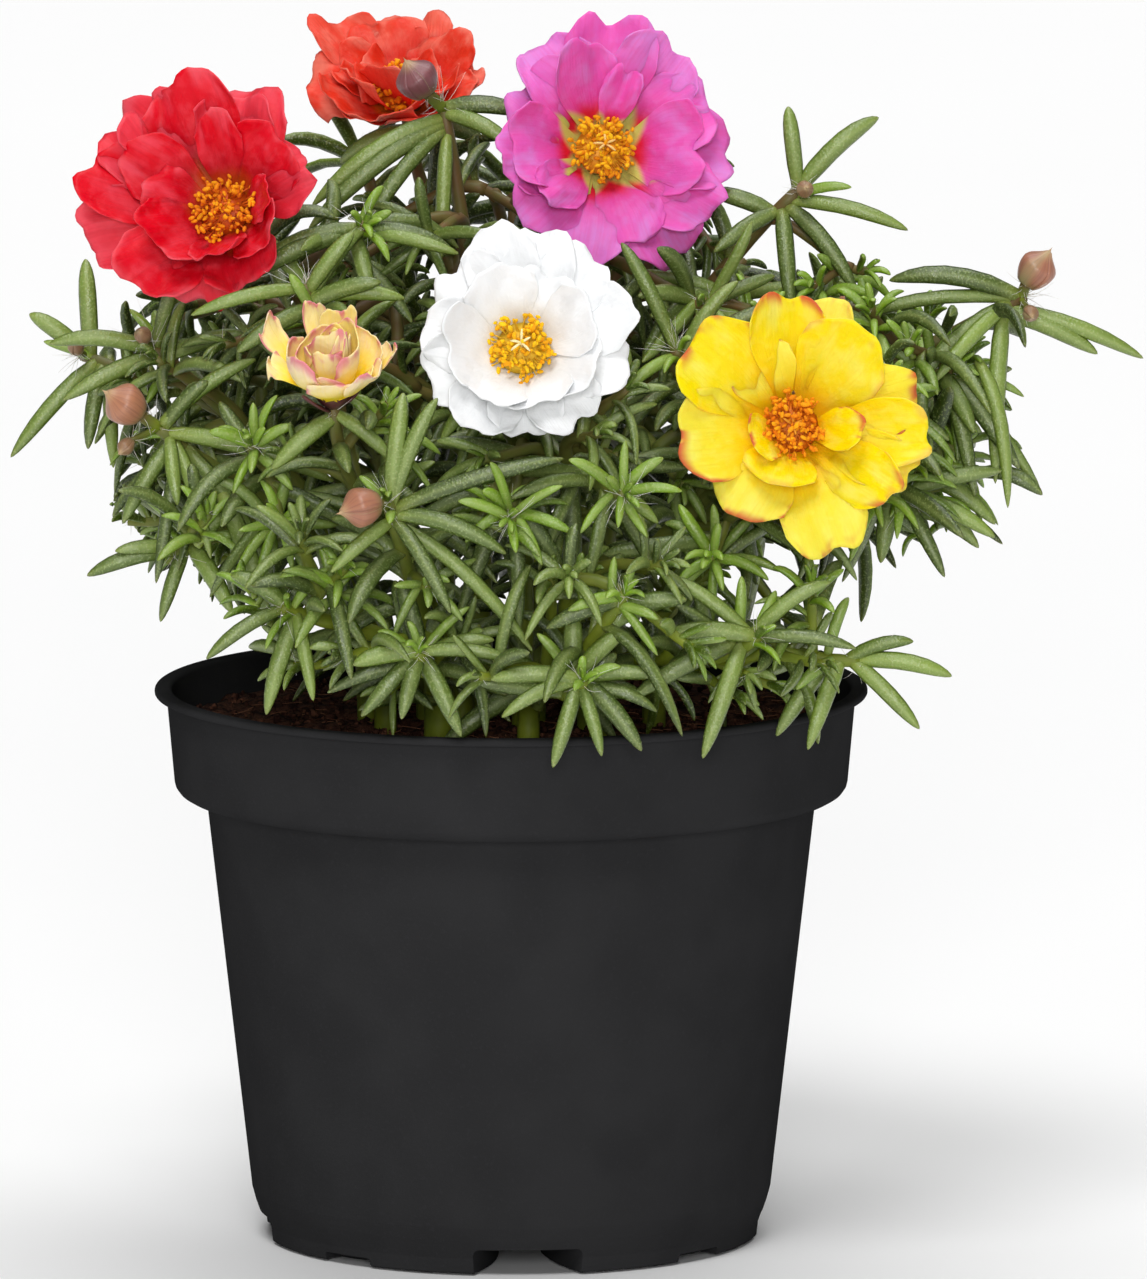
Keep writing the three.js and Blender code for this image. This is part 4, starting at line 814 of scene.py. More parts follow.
def fill_tips(room, stems, rng):
    for stem in stems.values():
        for shoot in stem["shoots"]:
            if not shoot["bloom"]:
                end = shoot["end"] + shoot["direction"] * 0.6
                add_rosette(room, stem, end, shoot["direction"], rng, *ROSETTES["tip"])


def add_drooping_leaves(room, stems):
    forward = unit(FRONT[2] + UP * 0.6)
    for name, *leaves in DROOPING_LEAVES:
        for foot, tip in leaves:
            add_fine_leaf(room, stems[name], vec(foot), vec(tip) @ FRONT, forward, DROOPING_WIDTH,
                          1e-9, light=0.9)


def add_young_shoots(room, stems, rng):
    """The bright small-leaved shoots at their places, each on a branch of the nearest shoot."""
    for name, *places in YOUNG_SHOOTS:
        for end in map(vec, places):
            stem = stems[name]
            spots = np.vstack([bezier(shoot["controls"], np.linspace(0.25, 0.95, 30))
                               for shoot in stem["shoots"]])
            start = spots[np.argmin(np.linalg.norm(spots - end + UP * 9, axis=1))]
            direction = unit(unit(end - start) + vec([0.1, -0.5, 0.8]))
            stem["shoots"].append(fine_shoot(start, end, direction, [0, 1], 1.0))
            add_rosette(room, stem, end, direction, rng, *ROSETTES["young"])
            add_rosette(room, stem, end - direction * 6, direction, rng, *ROSETTES["under_young"])


def fill_along(room, stems, rng):
    """Leaves all along the shoots, old and drooping low down."""
    for stem in stems.values():
        for shoot in stem["shoots"]:
            path = bezier(shoot["controls"], np.linspace(0, 1, 60))
            along = tangents_of(path)
            steps = np.append(0, np.cumsum(np.linalg.norm(np.diff(path, axis=0), axis=1)))
            place = 9.0 if shoot["main"] else 5.0
            turn = rng.uniform(0, 360)
            while place < steps[-1] - 5:
                i = int(np.searchsorted(steps, place))
                share = place / steps[-1]
                axes = outlook_frame(unit(along[i] + 0.001 * UP))
                for _ in range(5):
                    turn += GOLDEN_ANGLE
                    size = rng.uniform(*ALONG["length"]) * (1 - 0.18 * (share > 0.75))
                    spread = math.radians(rng.uniform(*ALONG["spread"]))
                    offset = heading(math.radians(turn), spread) * size @ axes
                    offset = offset - UP * size * 0.22 * (1 - share)
                    width = rng.uniform(*ALONG["width"])
                    # These leaves keep the default light of 0.3: a darker tint, partly older colour
                    # and partly painted shade inside the foliage.
                    if add_fine_leaf(room, stem, path[i], offset, axes[2], width, ALONG_LOOSENESS):
                        break
                place += rng.uniform(*ALONG["step"])


def fill_shoots(room, stems, rng):
    """Side shoots with a rosette each, wherever there is room inside the outline."""
    for stem in list(stems.values()) * SIDE_SHOOTS["rounds"]:
        parent = stem["shoots"][rng.integers(len(stem["shoots"]))]
        start = bezier(parent["controls"], rng.uniform(*SIDE_SHOOTS["place"]))[0]
        outward = unit(vec([start[0], start[1], 0]) + rng.normal(0, 14, 3) * [1, 1, 0.2])
        lean = unit(outward + UP * rng.uniform(*SIDE_SHOOTS["rise"]) + rng.normal(0, 0.35, 3))
        end = start + lean * rng.uniform(*SIDE_SHOOTS["reach"])
        outside = np.linalg.norm((end - PLANT_CENTRE) / PLANT_REACH) > 1
        if outside or end[2] < SIDE_SHOOTS["lowest"] or not inside_outline(end[None]).all():
            continue
        trial = [rng.uniform(-3, 3), rng.uniform(0, 4)]
        shoot = fine_shoot(start, end, lean, trial, SIDE_SHOOTS["start_radius"])
        at = bezier(shoot["controls"], np.linspace(0.3, 1, 10))
        if not clears_pot(at, 1.0).all() or room.gap(at, 1.0, room.hard) < 0.6:
            continue
        if room.gap(at[5:], 1.6, ~room.hard) < 0 or hides_bloom(at):
            continue
        shoot["direction"] = unit(end - bezier(shoot["controls"], 0.85)[0])
        young = rng.uniform(0, 0.7)
        size = rng.uniform(*SIDE_SHOOTS["length"]) * (1 - 0.25 * young)
        count = int(rng.integers(*SIDE_SHOOTS["leaves"]))
        laid = add_rosette(room, stem, end, shoot["direction"], rng, count, [size, 4], [92, 16],
                           young * 0.6)
        if laid > 3:
            stem["shoots"].append(shoot)
            room.lay("fine", at, 0.7)
        else:
            del stem["leaves"][len(stem["leaves"]) - laid:]


# ---- Skins: points, faces and values, gathered into one mesh per piece ----

VALUES = ["along", "across", "tint", "young", "upper"]


@functools.cache
def ring_faces(rings, sides, closed=True):
    """Quads round rings of points, and where they are closed, triangles to a pole at each end.

    Points are numbered ring by ring, then the pole before the first ring and the one after the
    last.
    """
    i, j = np.meshgrid(np.arange(rings - 1), np.arange(sides if closed else sides - 1), indexing="ij")
    after = (j + 1) % sides
    quads = np.stack([i * sides + j, i * sides + after, (i + 1) * sides + after,
                      (i + 1) * sides + j], -1).reshape(-1, 4)
    if not closed:
        return quads, []
    j = np.arange(sides)
    after = (j + 1) % sides
    first, last, top = rings * sides, rings * sides + 1, (rings - 1) * sides
    return quads, np.vstack([np.stack([np.full(sides, first), after, j], -1),
                             np.stack([np.full(sides, last), top + j, top + after], -1)])


def link(name, data):
    made = bpy.data.objects.new(name, data)
    bpy.context.scene.collection.objects.link(made)
    return made


class Skin:
    """A piece's points in millimetres, its faces by material, and its per-point values."""

    def __init__(self):
        self.points, self.quads, self.triangles, self.values = [], [], [], []
        self.count = 0

    def add(self, points, faces, material=0, **values):
        table = np.zeros((len(points), len(VALUES)))
        for name, value in values.items():
            table[:, VALUES.index(name)] = value
        for kept, added in zip((self.quads, self.triangles), faces):
            if len(added):
                kept.append(np.column_stack([added + self.count, np.full(len(added), material)]))
        self.points.append(points)
        self.values.append(table)
        self.count += len(points)

    def add_rings(self, rings, poles, material=0, along=None, around=None, **values):
        """Closed rings of points with a pole at each end, with values by ring and round a ring."""
        count, sides = rings.shape[:2]
        if along is not None:
            values["along"] = np.append(np.repeat(along, sides), [0, 1])
        for name, value in (around or {}).items():
            values[name] = np.append(np.tile(value, count), [0, 0])
        self.add(np.vstack([rings.reshape(-1, 3), *poles]), ring_faces(count, sides), material,
                 **values)

    def add_sheet(self, top, under, **values):
        """A thin sheet of two grids of points, with both its faces and its margin."""
        rows, columns = top.shape[:2]
        count = rows * columns
        quads, _ = ring_faces(rows, columns, closed=False)
        grid = np.arange(count).reshape(rows, columns)
        border = np.concatenate([grid[0], grid[1:, -1], grid[-1, -2::-1], grid[-2:0:-1, 0]])
        after = np.roll(border, -1)
        rim = np.stack([border, after, after + count, border + count], -1)
        values = {name: np.tile(np.ravel(value), 2) if np.size(value) == count else value
                  for name, value in values.items()}
        self.add(np.vstack([top.reshape(-1, 3), under.reshape(-1, 3)]),
                 (np.vstack([quads[:, ::-1], quads + count, rim]), []), **values)

    def piece(self, name, materials, slot, *replaced):
        points = np.vstack(self.points) * MM
        loops, sizes, kinds = [], [], []
        for corners, groups in ((4, self.quads), (3, self.triangles)):
            if groups:
                faces = np.vstack(groups)
                loops.append(faces[:, :corners].ravel())
                kinds.append(faces[:, corners])
                sizes.append(np.full(len(faces), corners))
        loops, sizes, kinds = (np.concatenate(x).astype(np.int32) for x in (loops, sizes, kinds))
        mesh = bpy.data.meshes.new(name)
        mesh.vertices.add(len(points))
        mesh.vertices.foreach_set("co", points.astype(np.float32).ravel())
        mesh.loops.add(len(loops))
        mesh.loops.foreach_set("vertex_index", loops)
        mesh.polygons.add(len(sizes))
        mesh.polygons.foreach_set("loop_start", (np.cumsum(sizes) - sizes).astype(np.int32))
        mesh.polygons.foreach_set("material_index", kinds)
        mesh.polygons.foreach_set("use_smooth", np.ones(len(sizes), bool))
        values = np.vstack(self.values).astype(np.float32)
        for i, value in enumerate(VALUES):
            mesh.attributes.new(value, "FLOAT", "POINT").data.foreach_set("value", values[:, i])
        mesh.update(calc_edges=True)
        mesh.validate()
        for material in materials:
            mesh.materials.append(material)
        made = link(name, mesh)
        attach(made, "root")
        if replaced:
            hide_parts(*replaced)


def tube_rings(path, radii, sides):
    """Rings of points round a path."""
    along = tangents_of(path)
    side = unit(np.cross(along[0], vec([0.3, 0.5, 0.8])))
    angle = clocks(sides)
    rings = []
    for point, direction, radius in zip(path, along, np.broadcast_to(radii, len(path))):
        side = unit(side - direction * (side @ direction))
        rings.append(point + radius * spokes([side, np.cross(direction, side)], angle))
    return np.array(rings)


def add_tube(skin, path, radii, sides, material=0, **values):
    skin.add_rings(tube_rings(path, radii, sides), [path[0], path[-1]], material,
                   along=np.linspace(0, 1, len(path)), **values)


def add_lathe(skin, profile, sides, place, direction, material=0, **values):
    """A closed profile of [radius, height] from pole to pole, turned about a direction."""
    profile = vec(profile)
    angle = clocks(sides)
    inner = profile[1:-1]
    spin = spokes(outlook_frame(direction), angle)
    rings = place + inner[:, None, :1] * spin + inner[:, None, 1:] * direction
    poles = [place + profile[0, 1] * direction, place + profile[-1, 1] * direction]
    skin.add_rings(rings, poles, material, along=np.linspace(0, 1, len(inner)),
                   around={"across": angle}, **values)


# ---- Leaves and stems ----

LEAF_SHARES = vec([0.01, 0.1, 0.25, 0.42, 0.58, 0.73, 0.85, 0.94, 0.985])
LEAF_ANGLE = clocks(8)
# Limits of a leaf's sag and sway as shares of its length, in a fine leaf and in a solid's own.
LEAF_BENDS = {True: [[-0.28, 0.06], [-0.16, 0.16]], False: [[-0.09, 0.03], [-0.06, 0.06]]}
LEAF_FULLNESS = [0.64, 0.88]


def leaf_half_width(share, width):
    """Half width along a leaf: nearly even to two thirds of its length, then a blunt tip."""
    foot = 0.7 + 0.3 * smoothstep(share, 0, 0.3)
    tip = (1 - np.clip((share - 0.5) / 0.5, 0, 1) ** 2.4) ** 0.62
    return (width / 2) * foot * tip


def bent_leaf(controls, shares, forward, fine, rng):
    """A leaf's path with a sag and a sway, stronger in a fine leaf."""
    path = bezier(controls, shares)
    sag, sway = (rng.uniform(*limits) for limits in LEAF_BENDS[fine])
    sideways = np.cross(unit(controls[2] - controls[0]), forward)
    return path + length_of(path) * (shares ** 2.5)[:, None] * (sag * UP + sway * sideways)


def add_leaf(skin, leaf, rng):
    width, forward = leaf["width"], leaf["forward"]
    fine = "young" in leaf
    young = leaf.get("young", 0.75 if width < 3 else rng.uniform(0, 0.35))
    shares = np.concatenate([[0], LEAF_SHARES, [1]])
    path = bent_leaf(leaf["controls"], shares, forward, fine, rng)
    along = tangents_of(path)
    side = np.cross(forward, along)
    side = side / np.maximum(np.linalg.norm(side, axis=1), 1e-6)[:, None]
    above = np.cross(along, side)
    twist = (rng.uniform(-0.35, 0.35) * shares)[:, None]
    side, above = (side * np.cos(twist) + above * np.sin(twist),
                   above * np.cos(twist) - side * np.sin(twist))
    half = leaf_half_width(LEAF_SHARES, width * rng.uniform(*LEAF_FULLNESS))[:, None, None]
    wide, upper = np.cos(LEAF_ANGLE), np.sin(LEAF_ANGLE)
    tall = rng.uniform(0.9, 1.15) * np.where(upper > 0, 0.62, 0.8) * upper
    rings = path[1:-1, None] + half * (wide[:, None] * side[1:-1, None]
                                       + tall[:, None] * above[1:-1, None])
    # The random tint is capped by the leaf's light: inner and lower leaves get a darker tint, partly
    # older colour and partly painted shade within the foliage.
    skin.add_rings(rings, [path[0], path[-1]], along=LEAF_SHARES,
                   around={"across": wide, "upper": upper},
                   tint=rng.uniform() * leaf.get("light", 1.0), young=young)


# Steps along a shoot, sides round it, and the radius at its end, in a fine shoot and another one.
SHOOT_MESH = {True: [14, 8, 0.75], False: [26, 10, STEM_TIP_RADIUS]}


def add_stem(skin, shoot, foot, rng):
    """A smooth round shoot; a main one goes down into the soil."""
    steps, sides, end_radius = SHOOT_MESH[shoot["fine"]]
    shares = np.linspace(0, 1, steps)
    path = bezier(shoot["controls"], shares)
    radii = lerp(shoot["start_radius"], end_radius, shares)
    if shoot["main"]:
        path = np.vstack([foot - UP * (ROOT_DEPTH - 1), path])
        radii = np.append(radii[0], radii)
    if shoot["bloom"]:
        path[-1] = path[-1] + shoot["direction"] * 0.6
    radii = radii * (1 + 0.05 * np.sin(np.arange(len(radii)) * 1.7 + rng.uniform(0, 6)))
    rings = tube_rings(path, radii, sides)
    points = np.vstack([rings.reshape(-1, 3), path[0], path[-1]])
    height = smoothstep(points[:, 2], SOIL_HEIGHT, SOIL_HEIGHT + 80)
    skin.add(points, ring_faces(len(path), sides), 1, along=height, tint=rng.uniform())


def add_bud_stalk(skin, shoots, base, direction, radius):
    """A stalk from the end of the nearest shoot to a bud."""
    foot = vec(base) + unit(vec(direction)) * 0.4
    shoot = min(shoots, key=lambda s: np.linalg.norm(s["end"] - foot))
    start = shoot["end"] - shoot["direction"] * 0.8
    path = start + np.linspace(0, 1, 5)[:, None] * (foot - start)
    add_tube(skin, path, 0.34 * radius, 10, 1, tint=0.5)


def make_stems(stems, rng, materials):
    for name, stem in stems.items():
        skin = Skin()
        for shoot in stem["shoots"]:
            add_stem(skin, shoot, stem["foot"], rng)
        for base, direction, _, radius, carrier, _ in BUDS.values():
            if carrier == name:
                add_bud_stalk(skin, stem["shoots"], base, direction, radius)
        for leaf in stem["leaves"]:
            add_leaf(skin, leaf, rng)
        skin.piece(f"stem_{name}_visual", materials, "leafy_stem", f"stem_{name}")


# ---- Hairs at the shoots' tips and the buds ----


def add_tuft(skin, rng, centre, direction, count, lengths):
    """Curled hairs that stand out round a point of the plant."""
    shares = np.linspace(0, 1, len(HAIR_RADII))[:, None]
    for _ in range(count):
        lean = unit(direction * 0.6 + rng.normal(0, 0.75, 3))
        length = rng.uniform(*lengths)
        curl = rng.normal(0, 0.4 * length, 3)
        add_tube(skin, centre + lean * length * shares + curl * shares ** 2, HAIR_RADII, 3)


def make_hairs(stems, rng, material):
    skin = Skin()
    for stem in stems.values():
        for shoot in stem["shoots"]:
            centre = shoot["end"] - shoot["direction"] * 0.4
            kind = "fine" if shoot["fine"] else "shoot"
            add_tuft(skin, rng, centre, shoot["direction"], *TUFTS[kind])
    for base, direction, *_ in BUDS.values():
        add_tuft(skin, rng, vec(base), -unit(vec(direction)), *TUFTS["bud"])
    skin.piece("node_hairs", [material], "leafy_stem")


# ---- Blooms ----

PETAL_U = np.linspace(0, 1, 24) ** 0.9
PETAL_V = np.sin(np.linspace(-np.pi / 2, np.pi / 2, 21) * 0.92) / math.sin(np.pi / 2 * 0.92)


def add_petal(skin, bloom, petal, index, rng):
    """A thin ruffled petal."""
    u, v = np.meshgrid(PETAL_U, PETAL_V, indexing="ij")
    middle = petal_surface(bloom, petal, index, u, v, fine=True)
    normal = np.cross(np.gradient(middle, axis=0), np.gradient(middle, axis=1))
    normal = normal / np.maximum(np.linalg.norm(normal, axis=2), 1e-9)[..., None]
    half = normal * PETAL_THICKNESS / 2
    pale = 0.75 - 0.14 * petal[2] + rng.uniform(-0.25, 0.25)
    if "wrap" in bloom:
        pale = math.hypot(petal[0], petal[1] - 4) / 7 - 0.2
    skin.add_sheet(middle + half, middle - half, along=u, across=v, tint=rng.uniform(),
                   young=float(np.clip(pale, 0, 1)), upper=np.repeat([1.0, 0.0], u.size))


def add_calyx(skin, bloom, rng, dark):
    """The bloom's green seat and two sepals under its petals."""
    centre, axis, axes = bloom_frame(bloom)
    add_lathe(skin, CALYX_PROFILE, 20, centre, axis, tint=0.3, young=dark)
    turn = rng.uniform(0, 2 * np.pi)
    shares = np.linspace(0, 1, 10)
    angle = clocks(10)[:, None]
    for clock in (turn, turn + np.pi):
        outward = spokes(axes, clock)
        path = centre + axis * (-7.3 + 4.6 * shares[:, None]) \
            + outward * (1.5 + 4.6 * shares[:, None] ** 0.8)
        half = 2.3 * np.sin(np.pi * (0.16 + 0.84 * shares)) ** 0.8 + 0.05
        rings = path[:, None] + half[:, None, None] * np.cos(angle) * np.cross(axis, outward) \
            + 0.3 * np.sin(angle) * unit(outward - axis * 0.8)
        skin.add_rings(rings, [path[0], path[-1]], along=shares, tint=rng.uniform(), young=dark)


def add_stamens(skin, bloom, rng):
    """Filaments that fan out of the bloom's throat in tufts, each with its anther."""
    centre, axis, axes = bloom_frame(bloom)
    add_lathe(skin, THROAT_PROFILE, 16, centre, axis, 1, tint=0.2)
    count = STAMENS["count"]
    for i in range(count):
        out = (STAMENS["reach"] - 0.4) * math.sqrt((i + 0.6) / count) + rng.uniform(-0.9, 0.5)
        clock = math.radians(GOLDEN_ANGLE) * i + rng.uniform(-0.6, 0.6)
        clock = clock + 0.16 * math.sin(5 * clock)
        spread = heading(clock, math.pi / 2) @ axes
        lift = 1.7 - 0.05 * out * out + rng.uniform(-2.0, 0.9)
        tip = centre + spread * out + axis * lift + rng.normal(0, 0.3, 3)
        start = centre + spread * out * 0.3 + axis * -1.9
        bend = centre + spread * out * 0.75 + axis * rng.uniform(-0.6, 0.2)
        path = bezier([start, bend, tip], np.linspace(0, 1, 5))
        add_tube(skin, path, np.linspace(0.17, 0.11, 5), 4, 1, tint=rng.uniform())
        lie = unit(axis * 0.4 + rng.normal(0, 1, 3))
        add_lathe(skin, ANTHER_PROFILE * rng.uniform(0.6, 1.1), 6, tip, lie, tint=rng.uniform())


def add_style(skin, bloom, lift, rng):
    """The pistil: a pale column whose arms curve out among the anthers."""
    centre, axis, axes = bloom_frame(bloom)
    column = centre + axis * np.linspace(-1.5, lift, 6)[:, None]
    add_tube(skin, column, 0.2, 8, 2, tint=0.5)
    top = centre + axis * (lift - 0.2)
    for angle in clocks(5):
        outward = heading(angle + rng.uniform(-0.35, 0.35), math.pi / 2) @ axes
        outward = outward * rng.uniform(1.5, 2.3)
        tip = top + outward + axis * rng.uniform(0.4, 1.3)
        path = bezier([top, top + outward * 0.35 + axis * 1.3, tip], np.linspace(0, 1, 7))
        add_tube(skin, path, STYLE_ARM_RADII, 7, 2, tint=0.5)


def make_blooms(rng):
    calyx_look = calyx_material()
    for name, bloom in BLOOMS.items():
        petals, calyx, stamens = Skin(), Skin(), Skin()
        drawn = bloom.get("drawn", bloom["petals"] + bloom.get("more", []))
        for index, petal in enumerate(drawn):
            add_petal(petals, bloom, petal, index, rng)
        petals.piece(f"petals_{name}_visual", [petal_material(name)], f"petals_{name}",
                     f"petals_{name}")
        add_calyx(calyx, bloom, rng, float(name == "half_open"))
        calyx.piece(f"calyx_{name}", [calyx_look], "bud")
        if name != "half_open":
            add_stamens(stamens, bloom, rng)
            add_style(stamens, bloom, STYLE_LIFT[name], rng)
            stamens.piece(f"stamens_{name}_visual", stamen_materials(name), "stamens",
                          f"stamens_{name}")


# ---- Buds ----


def make_buds(rng, material):
    """Pointed bodies, each with a sepal wrapped about more than half of it."""
    for name, (base, direction, length, radius, _, hue) in BUDS.items():
        axis = unit(vec(direction))
        small = float(length < 5)
        radius = radius * (0.64 if small else 0.95)
        skin = Skin()
        shares = np.linspace(0, 1, 22)
        body = np.sin(np.pi * np.clip(shares * 0.86 + 0.1, 0, 1)) ** 0.72
        point = 0.16 * (1 - smoothstep(shares, 0.78, 1.0))
        radii = radius * np.maximum(body * (1 - smoothstep(shares, 0.5, 0.92)) + point, 0.02)
        profile = np.stack([radii, shares * length], -1)
        add_lathe(skin, profile, 26, vec(base), axis, tint=hue, young=small)
        steps, angle = np.linspace(0.03, 0.86, 14), np.linspace(-1.75, 1.75, 17)
        angle = rng.uniform(0, 2 * np.pi) + angle
        around = spokes(outlook_frame(axis), angle)
        lift = 0.12 + 0.12 * np.cos(np.linspace(-1.5, 1.5, 17))
        reach = np.interp(steps, shares, radii)[:, None] + lift
        outer = vec(base) + reach[..., None] * around + (steps * length)[:, None, None] * axis
        along, across = np.meshgrid(steps, angle, indexing="ij")
        skin.add_sheet(outer, outer - 0.3 * around, along=along, across=across, tint=hue,
                       young=small)
        skin.piece(name + "_visual", [material], "bud", name)


# ---- Soil ----


def soil_height(x, y):
    lumps = np.sin(x * 0.31 + 1.3) * np.cos(y * 0.27) + 0.6 * np.sin((x + y) * 0.55)
    return SOIL_HEIGHT + SOIL_BUMP * 0.6 * lumps - np.hypot(x, y) * 0.012


def soil_place(radius, clock, lift):
    x, y = radius * math.cos(clock), radius * math.sin(clock)
    return vec([x, y, soil_height(x, y) + lift])


def add_ground(skin):
    """The filling: down along the pot's wall to its floor, with a grainy top."""
    angle = clocks(SOIL_SIDES)
    wall = WALL + SOIL_PLAY
    profile = [[FLOOR_RING_RADIUS - 3.5, SOIL_BOTTOM],
               [FOOT_RADIUS - wall - 1, FOOT_STEP_HEIGHT + 0.6],
               [BODY_FOOT_RADIUS - wall - 0.2, BODY_FOOT_HEIGHT + 1.4],
               [BODY_TOP_RADIUS - wall - 0.2, COLLAR_HEIGHT + wall],
               [COLLAR_RADIUS - wall - 1.2, COLLAR_HEIGHT + WALL + 2]]
    rings = [circle(radius, height, angle) for radius, height in profile]
    for radius in np.linspace(COLLAR_RADIUS - 0.6, 1.2, 46):
        x, y = radius * np.cos(angle), radius * np.sin(angle)
        grain = (np.sin(x * 2.9 + 1.7 * np.sin(y * 1.7)) * np.cos(y * 3.3 + 1.1 * np.sin(x * 2.1))
                 + 0.6 * np.sin(x * 7.1 + y * 2.3) * np.cos(y * 6.3 - x * 1.9))
        rings.append(circle(radius, soil_height(x, y) - 0.4 + 0.38 * grain, angle))
    skin.add_rings(np.array(rings), vec([[0, 0, SOIL_BOTTOM], [0, 0, SOIL_HEIGHT - 0.3]]), tint=0.5)


def add_crumbs(skin, rng):
    """Rough lumps: small spheres of rings with their points pushed in and out."""
    sides, rings = 7, 4
    lift = np.repeat(np.linspace(-0.75, 0.75, rings), sides)
    angle = np.tile(clocks(sides), rings)
    ball = np.vstack([circle(np.sqrt(1 - lift ** 2), lift, angle), -UP, UP])
    for _ in range(CRUMBS["count"]):
        radius = SOIL_RADIUS * math.sqrt(rng.uniform())
        clock = rng.uniform(0, 2 * np.pi)
        size = rng.uniform(*CRUMBS["small" if rng.uniform() < CRUMBS["small_share"] else "large"])
        if radius + size < SOIL_RADIUS:
            points = ball * rng.uniform(0.62, 1.25, (len(ball), 1))
            points = points * size * rng.uniform(0.6, 1.2, 3)
            skin.add(points + soil_place(radius, clock, 0.3 * size - 0.3), ring_faces(rings, sides),
                     tint=rng.uniform())


def add_fibres(skin, rng):
    """Short bent threads of coir on the soil."""
    shares = np.linspace(-0.5, 0.5, 6)[:, None]
    for _ in range(FIBRES["count"]):
        radius = 0.92 * SOIL_RADIUS * math.sqrt(rng.uniform())
        clock, turn = rng.uniform(0, 2 * np.pi, 2)
        length = rng.uniform(*FIBRES["length"])
        lie = vec([math.cos(turn), math.sin(turn), rng.uniform(-0.15, 0.15)])
        bend = vec([-math.sin(turn), math.cos(turn), 0.5]) * rng.uniform(-1.2, 1.2)
        path = soil_place(radius, clock, 0.3) + lie * length * shares + bend * (0.25 - shares ** 2)
        add_tube(skin, path, rng.uniform(*FIBRES["radius"]), 4, 1, tint=rng.uniform())


def make_soil(rng, materials):
    skin = Skin()
    add_ground(skin)
    add_crumbs(skin, rng)
    add_fibres(skin, rng)
    skin.piece("soil_visual", materials, "soil", "soil")


# ---- Pot ----


def fillet(corner, before, after, radius):
    """Points of an arc that rounds a corner of a profile."""
    a, b = unit(before - corner), unit(after - corner)
    half = math.acos(float(np.clip(a @ b, -1, 1))) / 2
    reach = radius / math.tan(half)
    centre = corner + unit(a + b) * radius / math.sin(half)
    start, end = corner + a * reach - centre, corner + b * reach - centre
    chord = lerp(start, end, np.linspace(0, 1, FILLET_POINTS)[:, None])
    return centre + chord / np.linalg.norm(chord, axis=1)[:, None] * radius


def rounded(profile):
    """A closed profile of [radius, height, rounding] with its corners rounded."""
    profile = vec(profile)
    corners, roundings = profile[:, :2], profile[:, 2]
    before, after = np.roll(corners, 1, axis=0), np.roll(corners, -1, axis=0)
    return np.vstack([fillet(*places, rounding) if rounding else places[0]
                      for *places, rounding in zip(corners, before, after, roundings)])


def arched_void(shape, outer, grow):
    """Rings of a low arch under the floor that widens outward from its inner end."""
    top = shape["height"] + grow
    curve = min(1.4, 0.45 * shape["height"])
    angle = np.linspace(np.pi, np.pi / 2, 5)
    rings = []
    for radius in np.linspace(shape["inner_radius"] - grow, outer, 9):
        share = max(0, (radius - shape["inner_radius"]) / (FOOT_RADIUS - shape["inner_radius"]))
        half = lerp(shape["inner_width"], shape["width"], share * share) / 2 + grow
        left = np.column_stack([-half + curve + curve * np.cos(angle),
                                top - curve + curve * np.sin(angle)])
        section = np.vstack([[-half, -1], left, left[::-1] * [-1, 1], [half, -1]])
        rings.append(np.column_stack([np.full(len(section), radius), -section[:, 0], section[:, 1]]))
    return np.array(rings)


def turned(points, degrees):
    cos, sin = math.cos(math.radians(degrees)), math.sin(math.radians(degrees))
    return points @ np.array([[cos, sin, 0], [-sin, cos, 0], [0, 0, 1]])


def loft(name, solids):
    """A mesh of closed rings, for a boolean."""
    skin = Skin()
    for rings in solids:
        skin.add_rings(rings, [rings[0].mean(0), rings[-1].mean(0)])
    mesh = bpy.data.meshes.new(name)
    faces = [face[:-1] for group in skin.quads + skin.triangles for face in group.tolist()]
    mesh.from_pydata((np.vstack(skin.points) * MM).tolist(), [], faces)
    return link(name, mesh)


def boolean(target, tool, operation):
    modifier = target.modifiers.new(operation, "BOOLEAN")
    modifier.operation = operation
    modifier.object = tool
    modifier.solver = "EXACT"
    graph = bpy.context.evaluated_depsgraph_get()
    mesh = bpy.data.meshes.new_from_object(target.evaluated_get(graph))
    target.modifiers.clear()
    target.data = mesh
    bpy.data.objects.remove(tool)


def pot_profile():
    """Corners [radius, height, rounding] up the outside, over the lip, and down the inside."""
    foot, body_foot, body_top, collar, collar_top = (
        radius - WALL for radius in
        (FOOT_RADIUS, BODY_FOOT_RADIUS, BODY_TOP_RADIUS, COLLAR_RADIUS, COLLAR_TOP_RADIUS))
    return rounded([
        [0.01, 0, 0], [FOOT_RADIUS, 0, 0.4], [FOOT_RADIUS + 0.3, FOOT_RISE, 1.5],
        [FOOT_RADIUS + FOOT_FLARE, FOOT_STEP_HEIGHT, 0.25],
        [BODY_FOOT_RADIUS, BODY_FOOT_HEIGHT, 1.2], [BODY_TOP_RADIUS, COLLAR_HEIGHT, 0.3],
        [COLLAR_RADIUS, COLLAR_HEIGHT, 2.3], [COLLAR_TOP_RADIUS, LIP_HEIGHT, 0.3],
        [RIM_RADIUS, LIP_HEIGHT, 0.4], [RIM_RADIUS, POT_HEIGHT, 0.6],
        [collar_top + 0.3, POT_HEIGHT, 0.7], [collar, COLLAR_HEIGHT + 2.4, 0.6],
        [body_top, COLLAR_HEIGHT + WALL, 0.4], [body_foot, BODY_FOOT_HEIGHT + 0.6, 0.4],
        [foot, FOOT_STEP_HEIGHT, 0.3], [foot, FLOOR_RING_THICKNESS, 0.3],
        [FLOOR_RING_RADIUS, FLOOR_RING_THICKNESS, 0.3],
        [FLOOR_RING_RADIUS - 1.6, FLOOR_THICKNESS, 0.3], [0.01, FLOOR_THICKNESS, 0]])


